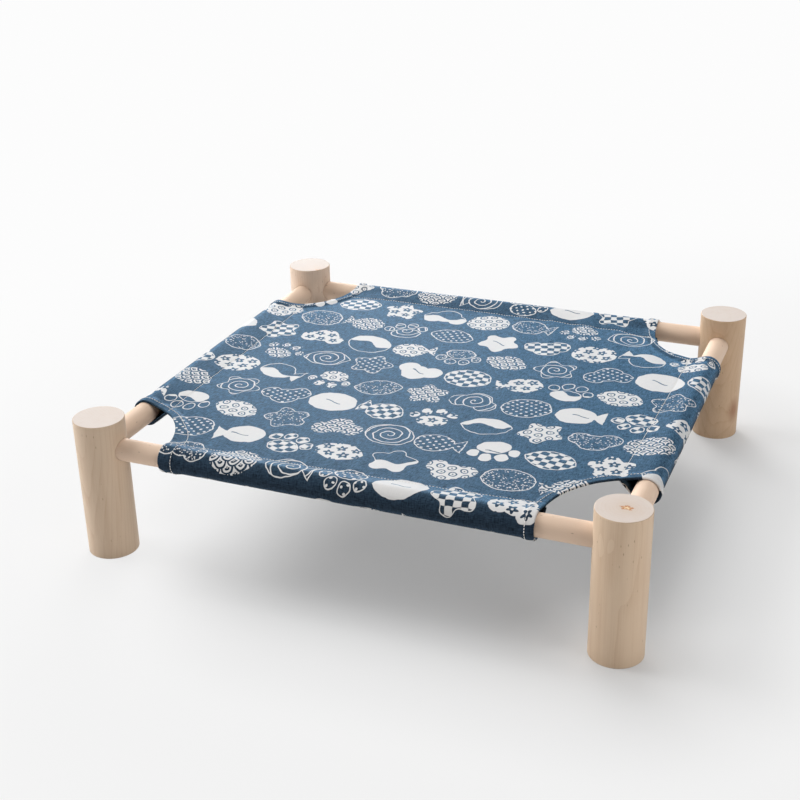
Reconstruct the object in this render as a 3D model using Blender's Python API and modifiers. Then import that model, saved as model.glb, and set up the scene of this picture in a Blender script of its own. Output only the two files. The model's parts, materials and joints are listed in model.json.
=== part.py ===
"""Raised cat bed: a sewn canvas sling stretched between four round rails that plug into four legs.

Units are metres, +Z is up. The origin is on the floor, midway between the four legs.
+X runs along the front rail and +Y runs to the back.
"""

import math

import bmesh
import bpy
from mathutils import Vector
from mathutils.bvhtree import BVHTree

# Legs, turned from round pine
LEG_DIAMETER = 0.050
LEG_HEIGHT = 0.145
LEG_SPACING_X = 0.516
LEG_SPACING_Y = 0.471
LEG_EDGE = 0.0008
LEG_SIDES = 64

# Rails, plugged full size into blind sockets in the legs
RAIL_DIAMETER = 0.022
RAIL_HEIGHT = 0.114
SOCKET_BOTTOM = 0.013  # from the leg's axis, so that two sockets at right angles don't meet
RAIL_EDGE = 0.0008
RAIL_SIDES = 48
FIT_GAP = 0.0003

# Canvas sling
CLOTH_THICKNESS = 0.0008
SLEEVE_GAP = 0.0007  # between the top of a rail and the cloth on it
SLEEVE_SLACK = 0.0005  # how far the sleeve hangs off centre under its rail
LAYER_GAP = 0.0003  # between the sheet and the edge that is folded under it
SEAM_ALLOWANCE = 0.006
SEAM_INSET = {"front": 0.019, "back": 0.033, "left": 0.032, "right": 0.022}
NOTCH = {
    "front_left": (0.072, 0.081),
    "front_right": (0.075, 0.092),
    "back_left": (0.068, 0.084),
    "back_right": (0.074, 0.086),
}  # each corner's cutout: how far it reaches along X and along Y from the leg's axis

# Sag of the sheet
SAG = 0.008
SEAM_SHARE = 0.62  # the part of the sag that is reached at a seam
SAG_REACH = 0.235
ROLL_ONTO_RAIL = 0.0024
CORNER_LIFT = 0.3
CORNER_FADE = 0.6
CORNER_SPAN = (0.072, 0.085)

# Stitching thread
THREAD_RADIUS = 0.0003
THREAD_GAP = 0.0004
HEM = {
    "front_left": (0.013, 0.008),
    "front_right": (0.007, 0.008),
    "back_left": (0.007, 0.008),
    "back_right": (0.007, 0.008),
}  # from a cutout's edge to its stitches, along X and along Y
HEM_STEPS = 12
SEAM_END_GAP = 0.004  # where a seam stops short of the hem's stitches
RETURN_SHARE = 0.85  # how far the hem's stitches follow the cloth back under the sheet

# Fineness of the sling's faces
LOOP_STEPS = 9
FOLD_STEPS = LOOP_STEPS + 2
ROLL_STATION = 0.007
ARC_SHARES = (0.3, 0.55, 0.78, 0.93, 1.0)
MIDDLE_ROWS = 5
INNER_COLUMNS = (0.085, 0.165)

# Angles in degrees above which an edge is shaded sharp, and above which a turned rim is eased
SHARP_ANGLE = 30
RIM_ANGLE = 40

HALF_X = LEG_SPACING_X / 2
HALF_Y = LEG_SPACING_Y / 2
RAIL_RADIUS = RAIL_DIAMETER / 2
LOOP_RADIUS = RAIL_RADIUS + SLEEVE_GAP + CLOTH_THICKNESS / 2 + SLEEVE_SLACK
LOOP_HEIGHT = RAIL_HEIGHT - SLEEVE_SLACK
SHEET_TOP = LOOP_HEIGHT + LOOP_RADIUS
LAYER_PITCH = CLOTH_THICKNESS + LAYER_GAP
THREAD_OFFSET = CLOTH_THICKNESS / 2 + THREAD_GAP + THREAD_RADIUS

PINE = (0.79, 0.68, 0.55)
PINE_RAIL = (0.81, 0.68, 0.54)
CANVAS_BLUE = (0.065, 0.145, 0.25)
THREAD_WHITE = (0.85, 0.83, 0.80)


def clear_scene():
    """Removes every object that the scene starts with."""
    for item in list(bpy.data.objects):
        bpy.data.objects.remove(item, do_unlink=True)


def new_collection(name):
    """A collection linked to the scene."""
    collection = bpy.data.collections.new(name)
    bpy.context.scene.collection.children.link(collection)
    return collection


def new_material(name, colour, roughness):
    """A plain Principled material with a linear colour."""
    material = bpy.data.materials.new(name)
    material.use_nodes = True
    shader = material.node_tree.nodes["Principled BSDF"]
    shader.inputs["Base Color"].default_value = (*colour, 1.0)
    shader.inputs["Roughness"].default_value = roughness
    shader.inputs["Metallic"].default_value = 0.0
    return material


def pine_leg_material():
    """Pale unfinished pine of the legs."""
    return new_material("pine_leg", PINE, 0.6)


def pine_rail_material():
    """Slightly warmer pine of the dowel rails."""
    return new_material("pine_rail", PINE_RAIL, 0.55)


def canvas_material():
    """Indigo cotton canvas."""
    return new_material("cotton_canvas", CANVAS_BLUE, 0.9)


def thread_material():
    """Off-white sewing thread."""
    return new_material("sewing_thread", THREAD_WHITE, 0.8)


def add_object(name, mesh, collection, material=None):
    """An object for a mesh, in a collection, with one material."""
    thing = bpy.data.objects.new(name, mesh)
    collection.objects.link(thing)
    if material:
        mesh.materials.append(material)
    return thing


def cylinder_mesh(name, radius, length, sides, base=0.0):
    """A closed cylinder along Z that starts at height base."""
    mesh = bpy.data.meshes.new(name)
    work = bmesh.new()
    bmesh.ops.create_cone(work, cap_ends=True, segments=sides, radius1=radius, radius2=radius, depth=length)
    bmesh.ops.translate(work, verts=work.verts, vec=(0, 0, base + length / 2))
    work.to_mesh(mesh)
    work.free()
    mesh.shade_smooth()
    mesh.set_sharp_from_angle(angle=math.radians(SHARP_ANGLE))
    return mesh


def ease_rims(thing, width, segments):
    """Rounds the sharp rims of a turned piece."""
    bevel = thing.modifiers.new("eased_rims", "BEVEL")
    bevel.width = width
    bevel.segments = segments
    bevel.limit_method = "ANGLE"
    bevel.angle_limit = math.radians(RIM_ANGLE)


def rail_ends(side):
    """The two ends of a rail's axis, which stop short of the legs' axes by SOCKET_BOTTOM."""
    if side in ("front", "back"):
        y = -HALF_Y if side == "front" else HALF_Y
        reach = HALF_X - SOCKET_BOTTOM
        return Vector((-reach, y, RAIL_HEIGHT)), Vector((reach, y, RAIL_HEIGHT))
    x = -HALF_X if side == "left" else HALF_X
    reach = HALF_Y - SOCKET_BOTTOM
    return Vector((x, -reach, RAIL_HEIGHT)), Vector((x, reach, RAIL_HEIGHT))


def rod_between(name, start, end, radius, extra, collection, material=None):
    """A cylinder laid between two points and made longer by extra at each end."""
    way = end - start
    mesh = cylinder_mesh(name, radius, way.length + 2 * extra, RAIL_SIDES, base=-extra)
    rod = add_object(name, mesh, collection, material)
    rod.location = start
    rod.rotation_mode = "QUATERNION"
    rod.rotation_quaternion = way.to_track_quat("Z", "Y")
    return rod


def make_rail(side, parts, material):
    """One dowel rail with eased ends."""
    start, end = rail_ends(side)
    rail = rod_between(f"rail_{side}", start, end, RAIL_RADIUS, 0.0, parts, material)
    ease_rims(rail, RAIL_EDGE, 1)


def make_socket_cutter(side, cutters):
    """The space that a rail fills in the legs, with the fit's clearance all round."""
    start, end = rail_ends(side)
    cutter = rod_between(f"socket_{side}", start, end, RAIL_RADIUS + FIT_GAP, FIT_GAP, cutters)
    cutter.hide_render = True
    cutter.display_type = "WIRE"
    return cutter


def make_leg(corner, sockets, parts, material):
    """One leg: a round post with eased rims and two blind sockets for the rails that meet in it."""
    front_or_back, left_or_right = corner.split("_")
    mesh = cylinder_mesh(f"leg_{corner}", LEG_DIAMETER / 2, LEG_HEIGHT, LEG_SIDES)
    leg = add_object(f"leg_{corner}", mesh, parts, material)
    leg.location = (
        -HALF_X if left_or_right == "left" else HALF_X,
        -HALF_Y if front_or_back == "front" else HALF_Y,
        0,
    )
    ease_rims(leg, LEG_EDGE, 2)
    for side in (front_or_back, left_or_right):
        cut = leg.modifiers.new(f"socket_{side}", "BOOLEAN")
        cut.operation = "DIFFERENCE"
        cut.solver = "EXACT"
        cut.object = sockets[side]


def mix(a, b, share):
    """The value that lies a share of the way from a to b."""
    return a + (b - a) * share


def dip(distance, seam):
    """Share of the sag at a distance inboard of a rail: a straight slope from the rail to the seam,
    rounded where it leaves the rail, then a parabola that levels out in the middle."""
    if distance <= 0:
        return 0.0
    if distance <= seam:
        rise = math.hypot(distance, ROLL_ONTO_RAIL) - ROLL_ONTO_RAIL
        return SEAM_SHARE * rise / (math.hypot(seam, ROLL_ONTO_RAIL) - ROLL_ONTO_RAIL)
    left = max(0.0, 1 - (distance - seam) / (SAG_REACH - seam))
    return SEAM_SHARE + (1 - SEAM_SHARE) * (1 - left * left)


def sheet_height(x, y):
    """Height of the middle of the cloth: the sag of both directions multiplied, and less of it
    beside the cutouts, whose hems are pulled taut."""
    in_x = HALF_X - abs(x)
    in_y = HALF_Y - abs(y)
    seam_x = SEAM_INSET["left" if x < 0 else "right"]
    seam_y = SEAM_INSET["front" if y < 0 else "back"]
    past_hem = max(0.0, math.hypot(in_x / CORNER_SPAN[0], in_y / CORNER_SPAN[1]) - 1)
    lift = 1 - CORNER_LIFT * math.exp(-past_hem / CORNER_FADE)
    return SHEET_TOP - SAG * dip(in_x, seam_x) * dip(in_y, seam_y) * lift


def leaving_angle(seam, seam_height):
    """Angle round the sleeve's loop at which the cloth leaves it in a straight line for the seam."""
    rise = seam_height - LAYER_PITCH - LOOP_HEIGHT
    return 2 * math.pi + math.atan2(rise, seam) - math.acos(LOOP_RADIUS / math.hypot(seam, rise))


def loop_point(step, leave, radius):
    """Point of the sleeve's loop, as (distance inboard of the rail, height). Step 0 is the top of
    the rail and step LOOP_STEPS is where the cloth leaves the loop."""
    angle = mix(math.pi / 2, leave, step / LOOP_STEPS)
    return radius * math.cos(angle), LOOP_HEIGHT + radius * math.sin(angle)


def fold_point(step, seam, height_at):
    """Point of the folded edge, as (distance inboard of the rail, height). Steps to LOOP_STEPS go
    round the rail, and the last two lie under the sheet, at the seam and at the fold's own edge."""
    if step <= LOOP_STEPS:
        return loop_point(step, leaving_angle(seam, height_at(seam)), LOOP_RADIUS)
    inboard = seam + (SEAM_ALLOWANCE if step == FOLD_STEPS else 0.0)
    return inboard, height_at(inboard) - LAYER_PITCH


def notch_inset(inboard, along, across):
    """How far a cutout still reaches along its rail, at a distance inboard of the rail: a quarter
    ellipse with the half axes along (on the rail) and across."""
    share = min(1.0, max(0.0, inboard) / across)
    return along * math.sqrt(1 - share * share)


def sleeve_span_x(side, inboard):
    """Left and right end of the front or back sleeve's cloth at a distance inboard."""
    ends = [notch_inset(inboard, *NOTCH[f"{side}_{hand}"]) for hand in ("left", "right")]
    return -HALF_X + ends[0], HALF_X - ends[1]


def sleeve_span_y(side, inboard):
    """Front and back end of the left or right sleeve's cloth at a distance inboard."""
    ends = [notch_inset(inboard, *reversed(NOTCH[f"{end}_{side}"])) for end in ("front", "back")]
    return -HALF_Y + ends[0], HALF_Y - ends[1]


def sheet_rows():
    """Rows of the sheet from the front rail's top to the back rail's, each as its left and right
    end in plan. The rows beside the cutouts end on the quarter ellipses."""
    rows = {}
    for end in ("front", "back"):
        sign = -1 if end == "front" else 1
        seam = SEAM_INSET[end]
        stations = [(0.0, 0.0), (ROLL_STATION, 0.0), (seam, 0.0)] + [(seam, share) for share in ARC_SHARES]
        rows[end] = []
        for start, share in stations:
            pair = []
            for hand, side in (("left", -1), ("right", 1)):
                along, across = NOTCH[f"{end}_{hand}"]
                inboard = mix(start, across, share)
                x = side * (HALF_X - notch_inset(inboard, along, across))
                pair.append((x, sign * (HALF_Y - inboard)))
            rows[end].append(pair)
    front, back = rows["front"][-1], rows["back"][-1]
    middle = []
    for k in range(1, MIDDLE_ROWS):
        share = k / MIDDLE_ROWS
        middle.append([(front[s][0], mix(front[s][1], back[s][1], share)) for s in (0, 1)])
    return rows["front"] + middle + rows["back"][::-1], len(rows["front"]) - 1


def sheet_columns():
    """Shares of the width at which the sheet's columns lie."""
    left = [0.0, ROLL_STATION, SEAM_INSET["left"], *INNER_COLUMNS]
    right = [0.0, ROLL_STATION, SEAM_INSET["right"], *INNER_COLUMNS]
    insets = left + [HALF_X] + [LEG_SPACING_X - inset for inset in reversed(right)]
    return [inset / LEG_SPACING_X for inset in insets]


def sling_point(column, row, columns, rows):
    """Place of one lattice point of the sling. Columns and rows outside the sheet's own run on
    round the rails as the four folded edges."""
    last_column, last_row = len(columns) - 1, len(rows) - 1
    share = columns[min(max(column, 0), last_column)]
    left, right = rows[min(max(row, 0), last_row)]
    x, y = mix(left[0], right[0], share), mix(left[1], right[1], share)
    if row < 0 or row > last_row:
        side, sign = ("front", -1) if row < 0 else ("back", 1)
        step = -row if row < 0 else row - last_row
        inboard, z = fold_point(step, SEAM_INSET[side], lambda d: sheet_height(x, sign * (HALF_Y - d)))
        low, high = sleeve_span_x(side, inboard)
        return mix(low, high, share), sign * (HALF_Y - inboard), z
    if column < 0 or column > last_column:
        side, sign = ("left", -1) if column < 0 else ("right", 1)
        step = -column if column < 0 else column - last_column
        inboard, z = fold_point(step, SEAM_INSET[side], lambda d: sheet_height(sign * (HALF_X - d), y))
        low, high = sleeve_span_y(side, 0.0)
        along = (y - low) / (high - low)
        low, high = sleeve_span_y(side, inboard)
        return sign * (HALF_X - inboard), mix(low, high, along), z
    return x, y, sheet_height(x, y)


def make_sling(parts, material):
    """The canvas: one cloth whose four edges are folded round the rails and end under the sheet.
    It starts as a flat lattice, loses its four corners and is then laid over the rails."""
    rows, first_side_row = sheet_rows()
    columns = sheet_columns()
    last_column, last_row = len(columns) - 1, len(rows) - 1
    across = last_column + 2 * FOLD_STEPS
    down = last_row + 2 * FOLD_STEPS
    work = bmesh.new()
    bmesh.ops.create_grid(work, x_segments=across, y_segments=down, size=1.0)
    place = {}
    for point in work.verts:
        column = round((point.co.x + 1) / 2 * across) - FOLD_STEPS
        row = round((point.co.y + 1) / 2 * down) - FOLD_STEPS
        place[point] = (column, row)
    corners = []
    for face in work.faces:
        column = sum(place[point][0] for point in face.verts) / 4
        row = sum(place[point][1] for point in face.verts) / 4
        beside = column < 0 or column > last_column
        if beside and not first_side_row < row < last_row - first_side_row:
            corners.append(face)
    bmesh.ops.delete(work, geom=corners, context="FACES")
    for point in work.verts:
        point.co = sling_point(*place[point], columns, rows)
    mesh = bpy.data.meshes.new("canvas_sling")
    work.to_mesh(mesh)
    work.free()
    mesh.shade_smooth()
    sling = add_object("canvas_sling", mesh, parts, material)
    wall = sling.modifiers.new("cloth_thickness", "SOLIDIFY")
    wall.thickness = CLOTH_THICKNESS
    wall.offset = 0.0
    wall.use_even_offset = True
    return sling


def make_thread(name, points, parts, material):
    """A run of thread through the given points."""
    curve = bpy.data.curves.new(name, "CURVE")
    curve.dimensions = "3D"
    curve.bevel_depth = THREAD_RADIUS
    curve.bevel_resolution = 1
    curve.use_fill_caps = True
    spline = curve.splines.new("POLY")
    spline.points.add(len(points) - 1)
    for slot, point in zip(spline.points, points):
        slot.co = (*point, 1.0)
    curve.materials.append(material)
    thread = bpy.data.objects.new(name, curve)
    parts.objects.link(thread)


def on_sheet(x, y):
    """Place of a thread's middle that lies on the sheet."""
    return x, y, sheet_height(x, y) + THREAD_OFFSET


def within(stations, low, high):
    """The stations between two limits, with the limits themselves as the first and last."""
    return [low, *(station for station in stations if low < station < high), high]


def make_seam_thread(side, parts, material):
    """The row of stitches that closes a sleeve. It lies along the sheet, parallel to the rail,
    and stops short of the stitches in the hems of the two cutouts."""
    seam = SEAM_INSET[side]
    if side in ("front", "back"):
        low, high = sleeve_span_x(side, seam)
        y = (-1 if side == "front" else 1) * (HALF_Y - seam)
        stations = [mix(low, high, share) for share in sheet_columns()]
        low += HEM[f"{side}_left"][0] + SEAM_END_GAP
        high -= HEM[f"{side}_right"][0] + SEAM_END_GAP
        points = [on_sheet(x, y) for x in within(stations, low, high)]
    else:
        low, high = sleeve_span_y(side, seam)
        x = (-1 if side == "left" else 1) * (HALF_X - seam)
        stations = [row[0][1] for row in sheet_rows()[0]]
        low += HEM[f"front_{side}"][1] + SEAM_END_GAP
        high -= HEM[f"back_{side}"][1] + SEAM_END_GAP
        points = [on_sheet(x, y) for y in within(stations, low, high)]
    make_thread(f"seam_thread_{side}", points, parts, material)


def hem_round_sleeve(seam, height_at):
    """The hem's stitches where they run round a sleeve, from the rail's top to the underside, as
    (distance inboard, height)."""
    leave = leaving_angle(seam, height_at(seam))
    radius = LOOP_RADIUS + THREAD_OFFSET
    path = [loop_point(step, leave, radius) for step in range(LOOP_STEPS + 1)]
    start = loop_point(LOOP_STEPS, leave, LOOP_RADIUS)
    end = (seam, height_at(seam) - LAYER_PITCH)
    last = [mix(start[k], end[k], RETURN_SHARE) for k in (0, 1)]
    path.append((last[0] + THREAD_OFFSET * math.cos(leave), last[1] + THREAD_OFFSET * math.sin(leave)))
    return path


def surface_under(sling, x, y):
    """Height of the sling's upper face at a place in plan."""
    hit = sling.ray_cast(Vector((x, y, LEG_HEIGHT)), Vector((0, 0, -1)))[0]
    return hit.z


def make_hem_thread(corner, sling, parts, material):
    """The stitches of one cutout's hem, in one run: from under one sleeve round its end, along the
    cutout's curve, and round the end of the other sleeve."""
    end, hand = corner.split("_")
    sign_x, sign_y = (-1 if hand == "left" else 1), (-1 if end == "front" else 1)
    along = NOTCH[corner][0] + HEM[corner][0]
    across = NOTCH[corner][1] + HEM[corner][1]
    rail_x, rail_y = sign_x * (HALF_X - along), sign_y * (HALF_Y - across)
    first = hem_round_sleeve(SEAM_INSET[end], lambda d: sheet_height(rail_x, sign_y * (HALF_Y - d)))
    last = hem_round_sleeve(SEAM_INSET[hand], lambda d: sheet_height(sign_x * (HALF_X - d), rail_y))
    points = [(rail_x, sign_y * (HALF_Y - inboard), z) for inboard, z in reversed(first)]
    for k in range(1, HEM_STEPS):
        turn = math.pi / 2 * k / HEM_STEPS
        x = sign_x * (HALF_X - along * math.cos(turn))
        y = sign_y * (HALF_Y - across * math.sin(turn))
        points.append((x, y, surface_under(sling, x, y) + THREAD_GAP + THREAD_RADIUS))
    points += [(sign_x * (HALF_X - inboard), rail_y, z) for inboard, z in last]
    make_thread(f"hem_thread_{corner}", points, parts, material)


def main():
    """Builds the bed."""
    clear_scene()
    parts = new_collection("cat_bed")
    cutters = new_collection("cutters")
    leg_pine = pine_leg_material()
    rail_pine = pine_rail_material()
    sides = ("front", "back", "left", "right")
    sockets = {side: make_socket_cutter(side, cutters) for side in sides}
    for side in sides:
        make_rail(side, parts, rail_pine)
    for corner in NOTCH:
        make_leg(corner, sockets, parts, leg_pine)
    sling = make_sling(parts, canvas_material())
    sling_faces = BVHTree.FromObject(sling, bpy.context.evaluated_depsgraph_get())
    white = thread_material()
    for side in sides:
        make_seam_thread(side, parts, white)
    for corner in NOTCH:
        make_hem_thread(corner, sling_faces, parts, white)


main()
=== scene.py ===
"""Raised cat bed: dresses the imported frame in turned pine, printed canvas and white stitching.

Units are metres, +Z is up. The origin is on the floor, midway between the four legs.
+X runs along the front rail and +Y runs to the back.
"""

import json
import math

import bpy
import numpy as np
from mathutils import Matrix, Vector

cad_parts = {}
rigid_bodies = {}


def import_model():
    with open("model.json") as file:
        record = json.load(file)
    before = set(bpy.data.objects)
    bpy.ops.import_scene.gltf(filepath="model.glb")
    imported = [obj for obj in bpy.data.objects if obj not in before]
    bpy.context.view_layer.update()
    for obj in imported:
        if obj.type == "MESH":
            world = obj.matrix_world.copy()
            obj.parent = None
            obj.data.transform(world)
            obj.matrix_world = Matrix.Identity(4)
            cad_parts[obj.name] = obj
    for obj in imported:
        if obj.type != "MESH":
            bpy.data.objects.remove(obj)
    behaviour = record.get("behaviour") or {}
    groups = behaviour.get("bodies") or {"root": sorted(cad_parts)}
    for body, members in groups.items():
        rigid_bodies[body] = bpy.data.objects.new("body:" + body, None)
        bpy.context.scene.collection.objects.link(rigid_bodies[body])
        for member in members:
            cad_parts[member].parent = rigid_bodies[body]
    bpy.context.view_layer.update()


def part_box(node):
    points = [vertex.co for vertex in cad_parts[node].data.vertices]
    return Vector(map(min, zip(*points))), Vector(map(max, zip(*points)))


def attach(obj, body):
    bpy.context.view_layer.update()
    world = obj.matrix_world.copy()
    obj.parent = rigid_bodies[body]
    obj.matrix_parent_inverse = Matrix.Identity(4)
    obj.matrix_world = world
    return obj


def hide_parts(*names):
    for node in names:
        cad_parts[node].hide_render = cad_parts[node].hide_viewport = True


bl_info = {
    "name": "Raised Cat Bed",
    "version": (1, 0, 0),
    "blender": (4, 5, 0),
    "location": "3D View > Sidebar > Cat Bed",
    "description": "Dresses the packed cat bed in pine, canvas and stitching",
    "category": "Object",
}

for thing in list(bpy.data.objects):
    bpy.data.objects.remove(thing, do_unlink=True)
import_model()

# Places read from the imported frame
CORNERS = {"front_left": (-1, -1), "front_right": (1, -1), "back_left": (-1, 1), "back_right": (1, 1)}
OUTWARD = {"front": -1, "back": 1, "left": -1, "right": 1}  # which way along Y or X each side lies
SIDES = tuple(OUTWARD)
ALONG_X = ("front", "back")  # the sides whose rails run along X
LEG_LOW, LEG_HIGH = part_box("leg_front_right")
HALF_X = (LEG_LOW.x + LEG_HIGH.x) / 2
HALF_Y = -(LEG_LOW.y + LEG_HIGH.y) / 2
LEG_RADIUS = (LEG_HIGH.x - LEG_LOW.x) / 2
LEG_HEIGHT = LEG_HIGH.z
RAIL_LOW, RAIL_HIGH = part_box("rail_front")
RAIL_RADIUS = (RAIL_HIGH.z - RAIL_LOW.z) / 2
RAIL_HEIGHT = (RAIL_HIGH.z + RAIL_LOW.z) / 2
SOCKET_BOTTOM = HALF_X - RAIL_HIGH.x

# How the canvas lies. The seams' distances, the cutouts and the sleeves are the solids' values. The bends of
# the seams and the hems along the cutouts are the sewn cloth's own.
SEAM_INSET = {"front": 0.019, "back": 0.033, "left": 0.032, "right": 0.022}
SEAM_BEND = {
    "front": (-0.0015, 0.0035, 0.0),
    "back": (-0.0055, 0.0025, 0.006),
    "left": (-0.002, 0.0, 0.0005),
    "right": (0.0, -0.0028, 0.0),
}  # how a hand-guided seam strays inboard: everywhere, from end to end, and towards both ends
SEAM_UNIT = 0.15  # distance from a seam's middle at which those last two count in full
NOTCH = {
    "front_left": (0.072, 0.081),
    "front_right": (0.075, 0.092),
    "back_left": (0.068, 0.084),
    "back_right": (0.074, 0.086),
}  # half axes of each cutout, along X and along Y
HEM = {
    "front_left": (0.013, 0.0058),
    "front_right": (0.007, 0.006),
    "back_left": (0.007, 0.006),
    "back_right": (0.007, 0.0065),
}  # from a cutout's edge to its stitches, along X and along Y
HEM_CHANGE = (0.2, 0.75)  # angles round a cutout, from its front or back rail, over which that width changes
HEM_PAST_STITCH = 0.0015
HEM_ROLL = 0.0009
LOOP_RADIUS = RAIL_RADIUS + 0.0016  # middle of the cloth in a sleeve, which hangs a little low on its rail
LOOP_HEIGHT = RAIL_HEIGHT - 0.0005
SHEET_TOP = LOOP_HEIGHT + LOOP_RADIUS
LAYER_PITCH = 0.0011
SEAM_ALLOWANCE = 0.006
SAG = 0.008
SEAM_SHARE = 0.62  # share of the sag that is reached at a seam
SAG_REACH = 0.235
ROLL_ONTO_RAIL = 0.0024
CORNER_LIFT = 0.3  # share of the sag that is missing beside a cutout
CORNER_FADE = 0.6
CORNER_SPAN = (0.072, 0.085)
CORNER_SLACK = {
    "front_left": (0.002, 0.03),
    "front_right": (0.0005, 0.03),
    "back_left": (0.002, 0.03),
    "back_right": (0.0035, 0.03),
}  # how far the cloth hangs beside a cutout, and how wide that slack is

# Fineness of the canvas
LOOP_STEPS = 24
STRAIGHT_STEPS = 7
ALLOWANCE_STEPS = 3
ROLL_STEPS = 12
ARC_STEPS = 30
MIDDLE_STEPS = 66
BAND_STEP = 0.0021
BAND_WIDTH = 0.045
FIELD_STEP = 0.0043
FOLD_T = np.concatenate([
    np.linspace(start, start + 1, steps + 1)[1:]
    for start, steps in enumerate((LOOP_STEPS, STRAIGHT_STEPS, ALLOWANCE_STEPS))
])
FOLDS = len(FOLD_T)


def linear(code):
    """Linear colour, with alpha, of an sRGB hex value."""
    channels = np.array([int(code[k:k + 2], 16) for k in (1, 3, 5)]) / 255
    bent = np.where(channels <= 0.04045, channels / 12.92, ((channels + 0.055) / 1.055) ** 2.4)
    return (*(float(v) for v in bent), 1.0)


def smooth(value, low, high):
    """Smooth step: 0 below low, 1 above high, and 3t^2 - 2t^3 between them."""
    t = np.clip((value - low) / (high - low), 0, 1)
    return t * t * (3 - 2 * t)


def mix(a, b, share):
    """The value that lies a share of the way from a to b."""
    return a + (b - a) * share


def turned(side, a, b):
    """A pair as it is for the front and the back, and the other way round for the left and the right. It
    turns places along and across a rail into places along X and Y, and back."""
    return (a, b) if side in ALONG_X else (b, a)


def side_corners(side):
    """The corners at the two ends of a side, from the left or from the front."""
    return [corner for corner in CORNERS if side in corner.split("_")]


def side_notches(side):
    """The half axes, along its rail and across it, of the cutouts at the two ends of a side."""
    return [turned(side, *NOTCH[corner]) for corner in side_corners(side)]


# Meshes


def new_piece(name, points, faces, materials, attributes=()):
    """A piece from its points and faces, linked to the scene, with vector attributes on its points."""
    mesh = bpy.data.meshes.new(name)
    mesh.from_pydata(points.tolist(), [], faces)
    for key, values in dict(attributes).items():
        attribute = mesh.attributes.new(key, "FLOAT_VECTOR", "POINT")
        attribute.data.foreach_set("vector", values.astype(np.float32).ravel())
    for material in materials:
        mesh.materials.append(material)
    mesh.shade_smooth()
    piece = bpy.data.objects.new(name, mesh)
    bpy.context.scene.collection.objects.link(piece)
    return piece


def settle(piece):
    """Applies a piece's modifiers to its mesh."""
    depsgraph = bpy.context.evaluated_depsgraph_get()
    mesh = bpy.data.meshes.new_from_object(piece.evaluated_get(depsgraph), depsgraph=depsgraph)
    old = piece.data
    piece.modifiers.clear()
    piece.data = mesh
    bpy.data.meshes.remove(old)
    mesh.name = piece.name


def grid_faces(index):
    """Quads between the neighbours of an index grid, without those that touch a missing point (-1)."""
    quads = np.stack([index[:-1, :-1], index[:-1, 1:], index[1:, 1:], index[1:, :-1]], axis=-1)
    quads = quads.reshape(-1, 4)
    return quads[(quads >= 0).all(axis=1)]


def tube_faces(rows, sides):
    """Quads between the rings of a closed tube, and triangles from its first and last ring to two poles
    whose points come after all the rings'."""
    index = np.arange(rows * sides).reshape(rows, sides)
    index = np.hstack([index, index[:, :1]])
    low, high = rows * sides, rows * sides + 1
    fans = [(low, b, a) for a, b in zip(index[0, :-1], index[0, 1:])]
    fans += [(high, a, b) for a, b in zip(index[-1, :-1], index[-1, 1:])]
    return grid_faces(index), np.array(fans)


def lathe(profile, sides):
    """A profile of (radius, height) turned about Z: (r cos t, r sin t, h). It runs from the lower pole
    to the upper one, and each pole is a single point."""
    turn = np.arange(sides) * (2 * np.pi / sides)
    rings = np.array(profile[1:-1])
    points = np.stack([
        np.outer(rings[:, 0], np.cos(turn)),
        np.outer(rings[:, 0], np.sin(turn)),
        np.repeat(rings[:, 1:], sides, axis=1),
    ], axis=-1).reshape(-1, 3)
    poles = [(0, 0, profile[0][1]), (0, 0, profile[-1][1])]
    quads, fans = tube_faces(len(rings), sides)
    return np.vstack([points, poles]), quads.tolist() + fans.tolist()


def laid(points, axis):
    """Points of a rod that stands along Z, laid along X (axis 0) or along Y (axis 1)."""
    return points[:, [2, 0, 1] if axis == 0 else [1, 2, 0]]


def eased_rod(radius, low, high, edge, rows, steps=4):
    """Profile of a round rod from one end to the other, its rims rounded by a quarter circle."""
    bend = np.linspace(0, np.pi / 2, steps)
    lower = [(radius - edge + edge * math.sin(a), low + edge - edge * math.cos(a)) for a in bend]
    upper = [(r, low + high - z) for r, z in reversed(lower)]
    side = [(radius, z) for z in np.linspace(low + edge, high - edge, rows + 1)[1:-1]]
    return [(0, low), *lower, *side, *upper, (0, high)]


# Shader nodes


# Kinds of node that come often: the type, its settings, its sockets in order, and its output
KINDS = {
    "plus": ("ShaderNodeVectorMath", {"operation": "ADD"}, (0, 1), 0),
    "minus": ("ShaderNodeVectorMath", {"operation": "SUBTRACT"}, (0, 1), 0),
    "times": ("ShaderNodeVectorMath", {"operation": "MULTIPLY"}, (0, 1), 0),
    "scaled": ("ShaderNodeVectorMath", {"operation": "SCALE"}, (0, 3), 0),
    "length": ("ShaderNodeVectorMath", {"operation": "LENGTH"}, (0,), 1),
    "spot": ("ShaderNodeCombineXYZ", {}, (0, 1), 0),
    "axes": ("ShaderNodeSeparateXYZ", {}, (0,), 0),
    "blend": ("ShaderNodeMix", {"data_type": "RGBA"}, (0, 6, 7), 2),
    "noise": ("ShaderNodeTexNoise", {}, ("Vector", "Scale", "Detail", "Roughness"), 0),
    "cells": ("ShaderNodeTexVoronoi", {}, ("Vector", "Scale"), 0),
    "ramp": ("ShaderNodeMapRange", {"interpolation_type": "SMOOTHSTEP"}, range(5), 0),
    "bump": ("ShaderNodeBump", {}, ("Height", "Strength", "Distance"), 0),
    "place": ("ShaderNodeTexCoord", {}, (), 3),
}
TO_MM = 1000.0


def fill(tree, socket, value):
    """Gives a socket a constant, a link, or a node of its own where the value is a tuple that starts with a
    kind. None leaves the socket as it is."""
    if isinstance(value, tuple) and isinstance(value[0], str):
        value = node(tree, *value)
    if isinstance(value, bpy.types.NodeSocket):
        tree.links.new(value, socket)
    elif value is not None:
        socket.default_value = value


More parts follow.
